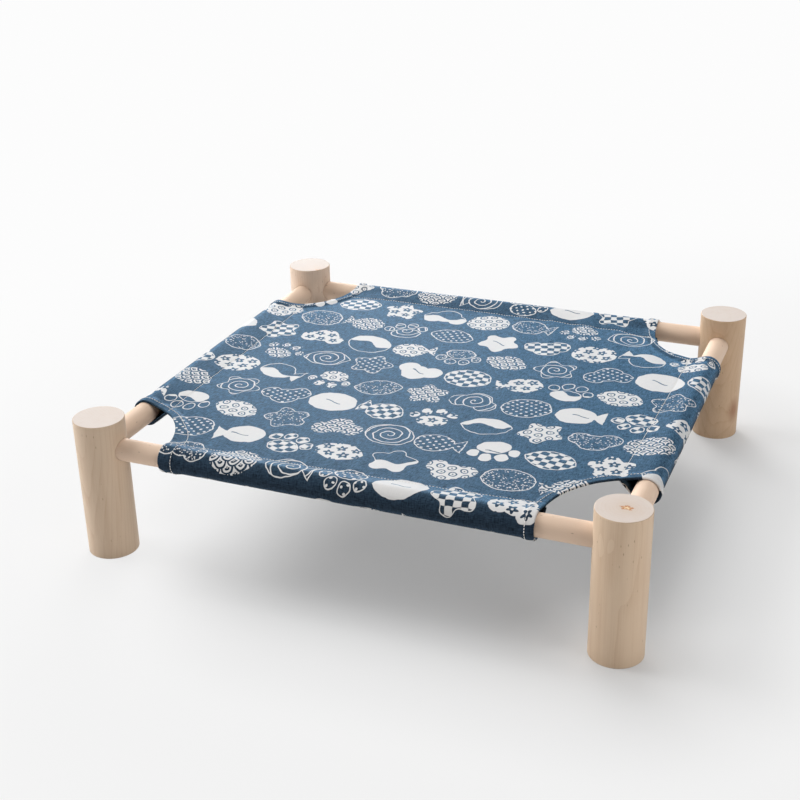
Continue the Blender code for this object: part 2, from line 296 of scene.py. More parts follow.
def node(tree, kind, *inputs, out=None, **settings):
    """Adds a node, fills its sockets in order and gives its output, or the one or several that out names.
    A kind in capitals is an operation of a Math node. Others stand in KINDS or are a node's type."""
    math_node = ("ShaderNodeMath", {"operation": kind}, range(3), 0)
    plain_node = (kind, {}, range(5), 0)
    type_name, usual, sockets, output = math_node if kind.isupper() else KINDS.get(kind, plain_node)
    made = tree.nodes.new(type_name)
    for key, value in {**usual, **settings}.items():
        setattr(made, key, value)
    for key, value in zip(sockets, inputs):
        fill(tree, made.inputs[key], value)
    if isinstance(out, tuple):
        return [made.outputs[key] for key in out]
    return made.outputs[output if out is None else out]


def new_material(name, **sockets):
    """A material with a Principled shader whose constant sockets are set by name."""
    material = bpy.data.materials.new(name)
    material.use_nodes = True
    shader = material.node_tree.nodes["Principled BSDF"]
    for key, value in sockets.items():
        shader.inputs[key.replace("_", " ")].default_value = value
    return material, material.node_tree, shader


def dress(tree, shader, colour, height, strength, relief):
    """Gives a shader its colour, and a bump where a height of 1 stands for the relief in metres."""
    fill(tree, shader.inputs["Base Color"], colour)
    fill(tree, shader.inputs["Normal"], ("bump", height, strength, relief))


def seen_directly(tree):
    """1 for rays from the camera, also by a mirror or through glass, and 0 for light that bounces."""
    rays = ("Is Camera Ray", "Is Glossy Ray", "Is Transmission Ray")
    camera, glossy, through = node(tree, "ShaderNodeLightPath", out=rays)
    return node(tree, "MAXIMUM", ("MAXIMUM", camera, glossy), through)


# Materials


MOTIF_GROWTH = 1.2
SHADE_MIDDLE = (0.119, 0.0, 0.0)  # the block of floor that lies in the bed's deep shade, right of its middle
SHADE_HALF = (0.139, HALF_Y, 0.0)
SHADE_FADES = ((0.0, 0.2, 0.0, 0.75), (0.2, 0.8, 0.0, 0.25))  # from and to in metres, from and to in share
FAR_WHITE = 0.975


def tinted(colour, factors):
    """A colour whose red, green and blue are multiplied by a factor each."""
    return (*(float(value) * factor for value, factor in zip(colour, factors)), 1.0)


def end_grain(tree, finish, grain, radius, tone, colour, late, end_shade):
    """The colour with the sawn ends of an upright piece, and how deep the pith lies. The ends have the
    wood's rings and, at the pith, an irregular star about 13 mm across, pale within and orange brown at its
    edge. A thin darker rim runs where the saw cut meets the turned side."""
    true_normal = node(tree, "ShaderNodeNewGeometry", out=3)
    upright = node(tree, "ABSOLUTE", node(tree, "axes", true_normal, out=2))
    cap = node(tree, "MULTIPLY_ADD", upright, 20.0, -18.6, use_clamp=True)
    warmth = ("MULTIPLY", ("POWER", 0.93, radius), 0.45)
    cap_tone = node(tree, "MULTIPLY_ADD", tone, 0.3, warmth, use_clamp=True)
    # The end shade scales the sawn ends' colour. On the back left leg it is painted shade.
    sawn = node(tree, "blend", cap_tone, tinted(finish.end_grain, (end_shade,) * 3), late)
    core = node(tree, "times", grain, (0.85, 1.25, 0.0))
    along, across = node(tree, "axes", core, out=(0, 1))
    points = ("SINE", ("MULTIPLY", ("ARCTAN2", across, along), 5.0))
    rough = ("SUBTRACT", ("noise", core, 0.9, 2.0), 0.5)
    star = ("ADD", ("MULTIPLY", points, 0.9), ("MULTIPLY", rough, 8.0))
    star = node(tree, "SUBTRACT", ("ADD", 4.6, star), ("length", core))
    inside = node(tree, "MULTIPLY", star, 1.4, use_clamp=True)
    pale = node(tree, "MULTIPLY", ("SUBTRACT", star, 2.2), 1.2, use_clamp=True)
    sawn = ("blend", inside, sawn, ("blend", pale, linear("#b9793f"), linear("#ecd0a8")))
    rim = ("MULTIPLY", ("COMPARE", upright, 0.6, 0.33), 0.5)
    colour = node(tree, "blend", rim, ("blend", cap, colour, sawn), linear("#a98a6a"))
    return colour, node(tree, "MULTIPLY", inside, cap)


def pine(name, finish, early, late, fibre_share, ring_share, shade=(1.0, 1.0, 1.0), end_shade=None):
    """Pine, turned and sanded and left bare, so it is matt and pale. The shade's three factors on the wood's
    colours make one leg a little redder, paler or darker than the next. The end shade scales the colour of
    the sawn ends, and on the back left leg it is painted shade against a near lamp. Growth rings lie about
    the pith line of the piece's own grain attribute: pale wide early wood, and thin darker late wood. The
    eye sees faint stripes along the piece, fine fibres, a few short resin marks, a pinkish end grain and the
    whitish edge that sanded fibres give a round piece."""
    material, tree, shader = new_material(
        name, Roughness=0.62, Specular_IOR_Level=0.3, Sheen_Weight=0.14, Sheen_Roughness=0.5
    )
    early, late = tinted(early, shade), tinted(late, shade)
    grain = node(tree, "ShaderNodeAttribute", out=1, attribute_name="grain")
    grain = node(tree, "scaled", grain, TO_MM)
    # Slow wander of the rings, a few millimetres over a hand's length
    wander = node(tree, "noise", ("times", grain, (0.03, 0.03, 0.008)), 1.0, 2.0, out=1)
    wander = ("scaled", ("minus", wander, (0.5, 0.5, 0.5)), 9.0)
    radius = node(tree, "length", ("times", ("plus", grain, wander), (1.0, 1.0, 0.0)))
    # The knot low on the back right leg, 18 mm wide and 30 mm high, which the rings bend round
    knot = node(tree, "length", ("times", ("minus", ("place",), KNOT), KNOT_SCALE))
    swell = ("POWER", 2.718, ("MULTIPLY", knot, ("MULTIPLY", knot, -0.55)))
    rings = ("MULTIPLY_ADD", radius, 1 / finish.ring_spacing, ("MULTIPLY", swell, 2.4))
    late_wood = ("POWER", ("FRACT", rings), 3.2)
    # Fibres about half a millimetre wide, drawn a little coarser than they are so that they show
    fibres = node(tree, "noise", ("times", grain, (1.5, 1.5, 0.018)), 1.0, 3.0)
    streaks = ("noise", ("times", grain, (0.16, 0.16, 0.01)), 1.0, 1.0)
    streaks = ("MULTIPLY", ("SUBTRACT", streaks, 0.5), fibre_share)
    tone = ("MULTIPLY_ADD", ("SUBTRACT", fibres, 0.5), fibre_share, ("MULTIPLY", late_wood, ring_share))
    tone = node(tree, "ADD", tone, streaks, use_clamp=True)
    # Resin marks, about 1 mm wide and 3 mm long
    mark = ("DIVIDE", ("cells", ("times", grain, (0.2, 0.2, 0.062)), 1.0), 0.07)
    mark = node(tree, "MULTIPLY", node(tree, "SUBTRACT", 1.6, mark, use_clamp=True), 0.55)
    colour = ("blend", mark, ("blend", tone, early, late), linear("#8a6a4c"))
    height = ("SUBTRACT", ("MULTIPLY", fibres, 0.6), ("MULTIPLY", mark, 0.7))
    if end_shade:
        colour, pith = end_grain(tree, finish, grain, radius, tone, colour, late, end_shade)
        height = ("SUBTRACT", height, pith)
    heart = ("MULTIPLY", node(tree, "SUBTRACT", 1.25, knot, use_clamp=True), 0.75)
    # Sanded fibres stand about a twentieth of a millimetre proud
    dress(tree, shader, ("blend", heart, colour, linear("#9a6b4c")), height, 0.35, 0.00025)
    return material


def oval(x, y, middle, half):
    """Rough distance in mm outside an oval: (the length of (x, y) in its half axes - 1) times the
    shorter half axis. It is negative inside."""
    across = ("DIVIDE", ("SUBTRACT", x, middle[0]), half[0])
    up = ("DIVIDE", ("SUBTRACT", y, middle[1]), half[1])
    return ("MULTIPLY", ("SUBTRACT", ("length", ("spot", across, up)), 1.0), min(half))


def motif_shapes(tree, x, y):
    """Distances in mm outside six plain outlines about 43 mm long: a pebble, a fish, a paw mark, a leaf, a
    blossom and a cloud."""
    level = node(tree, "ABSOLUTE", y)
    beside = node(tree, "ABSOLUTE", x)
    pebble = oval(x, y, (0.0, 0.0), (21.5, 18.0))
    tail = ("MAXIMUM", ("MULTIPLY_ADD", ("SUBTRACT", x, 7.5), -0.9, level), ("SUBTRACT", x, 20.5))
    fish = ("MINIMUM", oval(x, y, (-4.5, 0.0), (17.0, 15.0)), tail)
    toes = ("MINIMUM", oval(beside, y, (6.2, 11.0), (5.2, 6.4)), oval(beside, y, (16.2, 3.4), (4.9, 6.0)))
    paw = ("MINIMUM", toes, oval(x, y, (0.0, -7.0), (14.0, 10.5)))
    leaf = oval(x, level, (0.0, -8.6), (23.6, 23.6))
    petals = ("MULTIPLY", ("COSINE", ("MULTIPLY", ("ARCTAN2", y, x), 5.0)), 3.0)
    blossom = ("SUBTRACT", oval(x, y, (0.0, 0.0), (17.0, 17.0)), petals)
    puffs = ("MINIMUM", oval(x, y, (-11.5, -3.5), (10.5, 11.0)), oval(x, y, (12.5, -4.0), (9.5, 10.0)))
    cloud = ("MINIMUM", puffs, oval(x, y, (0.5, 2.6), (13.5, 14.0)))
    return pebble, fish, paw, leaf, blossom, cloud


def staggered(tree, x, y, wide, high):
    """Place in a cell of a brick layout, from the cell's middle, as (x, y, distance)."""
    row = ("FLOOR", ("DIVIDE", y, high))
    shifted = ("MULTIPLY_ADD", ("FLOORED_MODULO", row, 2.0), wide / 2, x)
    cell_x = node(tree, "SUBTRACT", ("FLOORED_MODULO", shifted, wide), wide / 2)
    cell_y = node(tree, "SUBTRACT", ("FLOORED_MODULO", y, high), high / 2)
    return cell_x, cell_y, node(tree, "length", ("spot", cell_x, cell_y))


def wave(kind, value, length):
    """The sine or cosine of a value in mm that repeats after a length in mm."""
    return (kind, ("MULTIPLY", value, 2 * math.pi / length))


def motif_fills(tree, x, y):
    """Share of ink in nine traditional fills: checks, dots, wave scales, rings, small flowers, plain, a
    spiral, specks and a dipped half. Each is gain times its pattern plus an offset, from 0 to 1."""
    checks = ("MULTIPLY", wave("SINE", x, 14.4), wave("SINE", y, 14.0))
    dots = ("MULTIPLY", wave("COSINE", x, 9.6), wave("COSINE", y, 8.8))
    scale_x, scale_y, _ = staggered(tree, x, y, 14.0, 6.4)
    scales = wave("COSINE", ("length", ("spot", scale_x, ("ADD", scale_y, 3.2))), 3.8)
    far = staggered(tree, x, y, 12.4, 10.8)[2]
    ring = ("MULTIPLY_ADD", ("ABSOLUTE", ("SUBTRACT", far, 3.7)), 3.0, -1.6)
    rings = ("MINIMUM", ring, ("MULTIPLY_ADD", far, 3.0, -2.4))
    flower_x, flower_y, reach = staggered(tree, x, y, 15.0, 13.0)
    petals = ("COSINE", ("MULTIPLY", ("ARCTAN2", flower_y, flower_x), 5.0))
    petals = ("MULTIPLY_ADD", petals, -1.3, ("SUBTRACT", reach, 4.5))
    flowers = ("MAXIMUM", petals, ("SUBTRACT", 1.3, reach))
    vein = ("MULTIPLY_ADD", ("SINE", ("MULTIPLY", x, 0.2)), 2.6, y)
    vein = node(tree, "MULTIPLY", ("SUBTRACT", ("ABSOLUTE", vein), 0.5), 2.5, use_clamp=True)
    plain = ("MAXIMUM", vein, ("MULTIPLY", ("SUBTRACT", ("ABSOLUTE", x), 9.0), 2.5))
    centre = node(tree, "spot", x, y)
    out = ("MULTIPLY", ("length", centre), 2 * math.pi / 7.6)
    spiral = ("COSINE", ("SUBTRACT", out, ("ARCTAN2", y, x)))
    specks = ("cells", centre, 0.36)
    dipped = ("MULTIPLY_ADD", ("SINE", ("MULTIPLY_ADD", x, 0.17, 0.6)), 4.0, y)
    fills = (
        (checks, 7.0, 0.5), (dots, 6.0, -3.1), (scales, 3.0, 0.6), (rings, 1.0, 0.0), (flowers, 2.5, 0.5),
        (plain, 1.0, 0.0), (spiral, 6.0, -4.6), (specks, -7.0, 2.6), (dipped, -2.5, -5.0),
    )
    return [node(tree, "MULTIPLY_ADD", *fill_values, use_clamp=True) for fill_values in fills]


def choose(tree, number, choices):
    """The choice whose place in the list is the number: the sum of each choice times (1 where the
    number is its place, else 0)."""
    total = 0.0
    for place, choice in enumerate(choices):
        total = node(tree, "MULTIPLY_ADD", ("COMPARE", number, float(place), 0.5), choice, total)
    return total


def print_ink(tree, cloth, flat):
    """Share of white ink at a place on the flat cloth, in mm. A brick layout of cells, each with one of
    six outlines and one of nine fills, picked by the cell's row and column, turned a little either
    way, and every other one upside down. Outlines are drawn a fifth larger than motif_shapes has them."""
    wobble = node(tree, "noise", flat, 0.09, 1.0, out=1)
    wobble = ("scaled", ("minus", wobble, (0.5, 0.5, 0.5)), 4.5)
    u, v = node(tree, "axes", ("plus", flat, wobble), out=(0, 1))
    wide, high = cloth.motif_pitch_x * TO_MM, cloth.motif_pitch_y * TO_MM
    row = node(tree, "FLOOR", ("DIVIDE", v, high))
    shifted = node(tree, "MULTIPLY_ADD", ("FLOORED_MODULO", row, 2.0), wide / 2, u)
    column = node(tree, "FLOOR", ("DIVIDE", shifted, wide))
    stray_x, stray_y, lean = (
        ("SINE", ("MULTIPLY_ADD", column, by_column, ("MULTIPLY", row, by_row)))
        for by_column, by_row in ((5.1, 2.9), (3.3, 7.1), (1.9, 2.7))
    )
    x = node(tree, "MULTIPLY_ADD", stray_x, 1.8, ("MULTIPLY_ADD", ("ADD", column, 0.5), -wide, shifted))
    y = node(tree, "MULTIPLY_ADD", stray_y, 1.2, ("MULTIPLY_ADD", ("ADD", row, 0.5), -high, v))
    flip = ("MULTIPLY", ("FLOORED_MODULO", ("ADD", column, row), 2.0), math.pi)
    angle = node(tree, "ADD", flip, ("MULTIPLY", lean, 0.3))
    cosine, sine = node(tree, "COSINE", angle), node(tree, "SINE", angle)
    turned_x = node(tree, "MULTIPLY_ADD", x, cosine, ("MULTIPLY", y, sine))
    turned_y = node(tree, "SUBTRACT", ("MULTIPLY", y, cosine), ("MULTIPLY", x, sine))
    outline = node(tree, "FLOORED_MODULO", ("MULTIPLY_ADD", row, 2.0, column), 6.0)
    pattern = node(tree, "FLOORED_MODULO", ("MULTIPLY_ADD", column, 4.0, ("MULTIPLY", row, 7.0)), 9.0)
    grown = [node(tree, "DIVIDE", axis, MOTIF_GROWTH) for axis in (turned_x, turned_y)]
    away = node(tree, "MULTIPLY", choose(tree, outline, motif_shapes(tree, *grown)), MOTIF_GROWTH)
    inside = node(tree, "MULTIPLY", ("ADD", away, 0.6), -3.0, use_clamp=True)
    ink = ("MULTIPLY", inside, choose(tree, pattern, motif_fills(tree, turned_x, turned_y)))
    line = node(tree, "MULTIPLY_ADD", ("ABSOLUTE", ("ADD", away, 0.5)), -3.0, 2.1, use_clamp=True)
    # Wave scales, rings and small flowers have no outline
    unlined = ("COMPARE", pattern, 3.0, 1.5)
    return node(tree, "MAXIMUM", ink, ("MULTIPLY", line, ("SUBTRACT", 1.0, unlined)))


def seam_dent(tree, along_x, along_y):
    """1 on each bent seam's line, down to 0 at 1.8 mm from it, for a place on the flat cloth in mm."""
    nearest = None
    for side, sign in OUTWARD.items():
        along, across = turned(side, along_x, along_y)
        everywhere, slant, ends = SEAM_BEND[side]
        middle = (turned(side, HALF_X, HALF_Y)[1] - SEAM_INSET[side] - everywhere) * TO_MM * sign
        curve, tilt = ends / (SEAM_UNIT**2 * TO_MM), slant / SEAM_UNIT
        bend = ("MULTIPLY_ADD", along, -sign * curve, -sign * tilt)
        off = ("ABSOLUTE", ("SUBTRACT", across, ("MULTIPLY_ADD", along, bend, middle)))
        nearest = node(tree, *off) if nearest is None else node(tree, "MINIMUM", nearest, off)
    return node(tree, "SUBTRACT", 1.0, ("DIVIDE", nearest, 1.8), use_clamp=True)


def canvas(name, cloth, printed):
    """Cotton and linen canvas, plain woven from uneven yarn, dyed indigo and printed in white. The yarn
    itself is nearly navy, and its combed fibres catch a light from behind as a pale blue bloom. That bloom
    is painted down where the cloth faces sideways or down, as painted shade on the sleeves' sides and
    undersides. The eye sees darker and paler slubs along both threads, soft white motifs and a dent along
    each seam."""
    material, tree, shader = new_material(
        name, Roughness=0.45, Specular_IOR_Level=0.012, Sheen_Weight=cloth.bloom_share, Sheen_Roughness=0.44
    )
    flat = node(tree, "ShaderNodeAttribute", out=1, attribute_name="flat_cloth")
    flat = node(tree, "scaled", flat, TO_MM)
    along_x, along_y = node(tree, "axes", flat, out=(0, 1))
    # Slubs 8 mm long and under 1 mm thick, along the weft and along the warp
    weft, warp = ((0.13, 1.25, 1.0), (1.25, 0.13, 1.0))
    yarns = (("noise", ("times", flat, thread), 1.0, 2.0, 0.6) for thread in (weft, warp))
    slubs = node(tree, "MULTIPLY", ("ADD", *yarns), 0.5)
    mottle = ("noise", flat, 0.35, 3.0, 0.65)
    heather = ("MULTIPLY_ADD", ("SUBTRACT", slubs, 0.5), 3.4, mottle)
    # Threads lie 0.6 mm apart. The weave is drawn at 1.3 mm, because a finer one is lost in the render
    weave = node(tree, "MULTIPLY", wave("SINE", along_x, 1.3), wave("SINE", along_y, 1.3))
    dark, pale = (cloth.dark_blue, cloth.pale_blue) if printed else (cloth.back_dark, cloth.back_pale)
    tone = node(tree, "MULTIPLY_ADD", weave, 0.06, heather, use_clamp=True)
    colour = ("blend", tone, tuple(dark), tuple(pale))
    height = ("MULTIPLY_ADD", weave, 0.12, ("MULTIPLY", slubs, 0.8))
    # Painted shade on the bloom by which way the cloth faces: full on what faces up, about a quarter on
    # upright sides and a sixth on undersides. Fibre also hides behind fibre where the cloth is seen almost
    # edge on
    upward = node(tree, "axes", node(tree, "ShaderNodeNewGeometry", out=1), out=2)
    painted_facing_shade = node(tree, "MULTIPLY_ADD", upward, 1.15, 0.26, use_clamp=True)
    edge_on = node(tree, "ShaderNodeLayerWeight", 0.5, out=1)
    shown = node(tree, "MULTIPLY_ADD", edge_on, -3.0, 2.98, use_clamp=True)
    facing_shade_and_edge_hiding = ("MULTIPLY", ("MAXIMUM", 0.16, painted_facing_shade), shown)
    fuzz_and_facing_shade = ("MULTIPLY", facing_shade_and_edge_hiding, ("MULTIPLY_ADD", tone, 1.32, 0.36))
    if printed:
        ink = print_ink(tree, cloth, flat)
        worn = node(tree, "MULTIPLY", ink, ("MULTIPLY_ADD", slubs, -0.25, 1.1), use_clamp=True)
        colour = ("blend", worn, colour, tuple(cloth.ink_white))
        height = ("MULTIPLY_ADD", ink, 0.1, height)
        fuzz_and_facing_shade = ("MULTIPLY", fuzz_and_facing_shade, ("MULTIPLY_ADD", ink, -0.75, 1.0))
    height = ("MULTIPLY_ADD", seam_dent(tree, along_x, along_y), -1.2, height)
    dress(tree, shader, colour, height, 0.5, 0.0003)
    tint = shader.inputs["Sheen Tint"]
    fill(tree, tint, tuple(cloth.bloom))
    fill(tree, tint, ("scaled", tuple(cloth.bloom)[:3], fuzz_and_facing_shade))
    return material


def sewing_thread(name, stitching):
    """Spun polyester sewing thread, left white: matt, with the turns of its ply across it."""
    material, tree, shader = new_material(name, Roughness=0.75, Specular_IOR_Level=0.3, Sheen_Weight=0.2)
    # The ply turns about once in 0.5 mm and is drawn at 0.9 mm
    ply = node(tree, "ShaderNodeTexWave", ("place",), 1100.0 / 6.28, 1.5, 0.0, out=1)
    colour = ("blend", ("MULTIPLY", ply, 0.4), tuple(stitching.white), tuple(stitching.shade))
    dress(tree, shader, colour, ply, 0.3, 0.0001)
    return material


def studio_floor(stage):
    """Matt white paper sweep. The camera sees its shadows lifted, as in a bright room, and sees it fade
    to plain white far from the bed. For light that bounces it is plain matt paper."""
    material, tree, shader = new_material("white_paper", Roughness=0.95, Specular_IOR_Level=0.0)
    fill(tree, shader.inputs["Base Color"], tuple(stage.floor_colour))
    # Distance from the block of floor in the deep shade
    beside = ("minus", ("place",), SHADE_MIDDLE)
    beside = node(tree, "ShaderNodeVectorMath", beside, operation="ABSOLUTE")
    beside = ("minus", beside, SHADE_HALF)
    beside = node(tree, "ShaderNodeVectorMath", beside, (0.0, 0.0, 0.0), operation="MAXIMUM")
    out = node(tree, "length", beside)
    fade = node(tree, "ADD", *(("ramp", out, *fade) for fade in SHADE_FADES))
    glow = ("MULTIPLY_ADD", fade, FAR_WHITE - stage.lift_tone, stage.lift_tone)
    white = ("ShaderNodeEmission", (1.0, 1.0, 1.0, 1.0), glow)
    share = ("MULTIPLY_ADD", fade, 1 - stage.shadow_lift, stage.shadow_lift)
    both = ("ShaderNodeMixShader", ("MULTIPLY", share, seen_directly(tree)), shader.outputs[0], white)
    fill(tree, tree.nodes["Material Output"].inputs[0], both)
    return material


# Wood


# Each leg's pith: its place at the foot from the leg's axis in metres, its lean in metres per metre, and how
# far up the tree the leg was cut, in metres
LEG_PITH = {
    "front_left": ((0.012, 0.034), (0.02, 0.05), 3.0),
    "front_right": ((0.0023, 0.0008), (0.0, 0.0), 3.3),
    "back_left": ((0.026, -0.022), (-0.03, 0.04), 2.7),
    "back_right": ((-0.004, 0.031), (0.01, 0.13), 3.0),
}
# How red, how pale and how dark each leg's wood is: factors on its red, green and blue, and one on its sawn
# ends. The back left leg's end factor of 0.74 is painted shade: it darkens the top that the near low lamp
# lights strongly
LEG_SHADE = {
    "front_left": ((0.99, 1.0, 1.04), 0.97),
    "front_right": ((1.08, 1.08, 1.1), 1.0),
    "back_left": ((1.13, 1.16, 1.3), 0.74),
    "back_right": ((0.93, 0.86, 0.8), 0.98),
}
KNOT = (HALF_X + 0.0215, HALF_Y - 0.0115, 0.034)
KNOT_SCALE = (110.0, 110.0, 66.0)  # 1 over half its width, depth and height in metres
LEG_SIDES = 256
RAIL_SIDES = 128
SOCKET_SIDES = 96
RIM_EDGE = 0.0008
SOCKET_GAP = 0.0003
SOCKET_EDGE = 0.0005
CUTTER_PAST_LEG = 0.01
LEG_ROWS, RAIL_ROWS = 24, 60
RAIL_PITH = 0.011  # across the first rail, and 6 mm less for each next one
RAIL_RUN = 0.7


def set_grain(piece, points, pith, lean, run):
    """Stores each point's place from the pith line, with the third axis along the grain. The run says how
    far along the grain the piece starts, so that pieces don't repeat each other's marks."""
    across = points[:, :2] - np.array(pith) - points[:, 2:] * np.array(lean)
    grain = np.column_stack([across, points[:, 2] + run])
    attribute = piece.data.attributes.new("grain", "FLOAT_VECTOR", "POINT")
    attribute.data.foreach_set("vector", grain.astype(np.float32).ravel())


def mesh_points(piece):
    """A mesh's points as an array."""
    flat = np.empty(len(piece.data.vertices) * 3, np.float32)
    piece.data.vertices.foreach_get("co", flat)
    return flat.reshape(-1, 3).astype(float)


def make_leg(corner, material):
    """One leg: a lathe-turned post whose rims are eased, with two blind sockets cut in it."""
    sign_x, sign_y = CORNERS[corner]
    base = np.array([sign_x * HALF_X, sign_y * HALF_Y, 0.0])
    points, faces = lathe(eased_rod(LEG_RADIUS, 0.0, LEG_HEIGHT, RIM_EDGE, LEG_ROWS), LEG_SIDES)
    leg = new_piece(f"pine_leg_{corner}", points + base, faces, [material])
    cutters = []
    for axis, sign in ((0, -sign_x), (1, -sign_y)):
        low, high = sorted((sign * (SOCKET_BOTTOM - SOCKET_GAP), sign * (LEG_RADIUS + CUTTER_PAST_LEG)))
        profile = eased_rod(RAIL_RADIUS + SOCKET_GAP, low, high, SOCKET_EDGE, 2, 2)
        rod, rod_faces = lathe(profile, SOCKET_SIDES)
        rod = laid(rod, axis) + base + (0, 0, RAIL_HEIGHT)
        cutter = new_piece(f"socket_cutter_{corner}_{axis}", rod, rod_faces, [])
        cut = leg.modifiers.new("socket", "BOOLEAN")
        cut.operation = "DIFFERENCE"
        cut.solver = "EXACT"
        cut.object = cutter
        cutters.append(cutter)
    settle(leg)
    for cutter in cutters:
        bpy.data.meshes.remove(cutter.data)
    leg.data.shade_flat()
    set_grain(leg, mesh_points(leg) - base, *LEG_PITH[corner])
    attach(leg, "root")
    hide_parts(f"leg_{corner}")


def make_rail(side, material, order):
    """One dowel: a rod of the rail's diameter laid along its axis, its end rims eased."""
    low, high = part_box(f"rail_{side}")
    axis = 0 if side in ALONG_X else 1
    points, faces = lathe(eased_rod(RAIL_RADIUS, low[axis], high[axis], RIM_EDGE, RAIL_ROWS), RAIL_SIDES)
    centre = np.array((low + high) / 2)
    centre[axis] = 0
    rail = new_piece(f"pine_rail_{side}", laid(points, axis) + centre, faces, [material])
    rail.data.set_sharp_from_angle(angle=math.radians(20))
    set_grain(rail, points, (RAIL_PITH - 0.006 * order, 0.016), (0.006, 0.012), RAIL_RUN * order)
    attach(rail, "root")
    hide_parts(f"rail_{side}")


# Canvas


def by_corner(x, y, table):
    """The two values that a table has for the corner nearest to each place."""
    for part in (0, 1):
        front = np.where(x < 0, table["front_left"][part], table["front_right"][part])
        back = np.where(x < 0, table["back_left"][part], table["back_right"][part])
        yield np.where(y < 0, front, back)


def dip(distance, seam):
    """Share of the sag at a distance inboard of a rail: a straight slope from the rail to the seam,
    rounded where it leaves the rail, then a parabola that levels out in the middle."""
    inside = np.clip(distance, 0, seam)
    rise = np.hypot(inside, ROLL_ONTO_RAIL) - ROLL_ONTO_RAIL
    slope = SEAM_SHARE * rise / (np.hypot(seam, ROLL_ONTO_RAIL) - ROLL_ONTO_RAIL)
    left = np.clip(1 - (distance - seam) / (SAG_REACH - seam), 0, 1)
    return np.where(distance <= seam, slope, SEAM_SHARE + (1 - SEAM_SHARE) * (1 - left * left))


def seam_inset(side, place):
    """Distance of a seam from its rail at a place along it: the straight seam's, with its bend as
    a + b t + c t^2, where t is the place in units of 150 mm from the middle."""
    share = place / SEAM_UNIT
    everywhere, across, ends = SEAM_BEND[side]
    return SEAM_INSET[side] + everywhere + across * share + ends * share * share


def nearest_seams(x, y):
    """Distances from their rails of the side seam and of the front or back seam nearest to each place."""
    seam_x = np.where(x < 0, seam_inset("left", y), seam_inset("right", y))
    seam_y = np.where(y < 0, seam_inset("front", x), seam_inset("back", x))
    return seam_x, seam_y


def from_cutout(x, y):
    """Rough distance of a place from the edge of its corner's cutout: (g - 1) over the length of g's
    gradient, where g is the place's length in the quarter ellipse's half axes."""
    along, across = by_corner(x, y, NOTCH)
    in_x, in_y = np.maximum(HALF_X - np.abs(x), 0), np.maximum(HALF_Y - np.abs(y), 0)
    g = np.hypot(in_x / along, in_y / across)
    slope = np.hypot(in_x / along**2, in_y / across**2) / np.maximum(g, 1e-6)
    return (g - 1) / np.maximum(slope, 1e-6)


def hem_width(x, y):
    """Width of the hem that is folded under a cutout. It changes soon past the front or back sleeve."""
    along, across = by_corner(x, y, NOTCH)
    turn = np.arctan2((HALF_Y - np.abs(y)) / across, (HALF_X - np.abs(x)) / along)
    width = mix(*by_corner(x, y, HEM), smooth(turn, *HEM_CHANGE))
    return width + HEM_PAST_STITCH


def hem_rise(x, y, rise):
    """How far the cloth stands off where a hem lies under it: full over the hem, then faded out."""
    share = from_cutout(x, y) / hem_width(x, y)
    return rise * (1 - smooth(share, 0.85, 1.5))


def ripples(x, y):
    """Small unevenness of the sheet, in metres: a slow wave both ways, creases that run from the back
    seam over the right half, short puckers along the seams, and none on the rails."""
    in_x, in_y = HALF_X - np.abs(x), HALF_Y - np.abs(y)
    calm = smooth(in_x, 0.0, 0.035) * smooth(in_y, 0.0, 0.035)
    slow = 0.0005 * np.sin(19 * x + 8 * y + 0.7) * np.sin(17 * y - 4 * x + 1.9)
    spread = np.exp(-(((x - 0.13) / 0.11) ** 2)) * np.exp(-(((HALF_Y - y) / 0.17) ** 2))
    creases = 0.0008 * spread * np.cos(2 * np.pi * (x + 0.22 * y) / 0.038)
    front = np.exp(-np.abs(HALF_Y + y - SEAM_INSET["front"]) / 0.03)
    creases = creases + 0.00022 * front * np.cos(2 * np.pi * x / 0.027 + 2 * np.sin(31 * x))
    total = calm * (slow + creases)
    seam_x, seam_y = nearest_seams(x, y)
    for off, along in ((in_x - seam_x, y), (in_y - seam_y, x)):
        total = total + 0.00016 * np.exp(-((off / 0.007) ** 2)) * np.cos(2 * np.pi * along / 0.0165)
    return total


def sheet_height(x, y):
    """Height of the middle of the cloth without its small unevenness: the sag of both directions
    multiplied, less of it beside the cutouts, and a little slack right beside their hems."""
    in_x, in_y = HALF_X - np.abs(x), HALF_Y - np.abs(y)
    seam_x, seam_y = nearest_seams(x, y)
    past_hem = np.maximum(0.0, np.hypot(in_x / CORNER_SPAN[0], in_y / CORNER_SPAN[1]) - 1)
    lift = 1 - CORNER_LIFT * np.exp(-past_hem / CORNER_FADE)
    depth, width = by_corner(x, y, CORNER_SLACK)
    slack = depth * np.exp(-((np.maximum(from_cutout(x, y), 0) / width) ** 2))
    slack = slack * smooth(in_x, 0.0, 0.02) * smooth(in_y, 0.0, 0.02)
    return SHEET_TOP - SAG * dip(in_x, seam_x) * dip(in_y, seam_y) * lift - slack


def cover_height(x, y, rise):
    """Height of the middle of the sheet's cloth with the hems' rise and the small unevenness."""
    return sheet_height(x, y) + hem_rise(x, y, rise) + ripples(x, y)


def sheet_normals(x, y, rise):
    """Upward normals of the sheet from the slope of its height."""
    step = 0.001
    slope_x = (cover_height(x + step, y, rise) - cover_height(x - step, y, rise)) / (2 * step)
    slope_y = (cover_height(x, y + step, rise) - cover_height(x, y - step, rise)) / (2 * step)
    return unit(np.column_stack([-slope_x, -slope_y, np.ones_like(x)]))


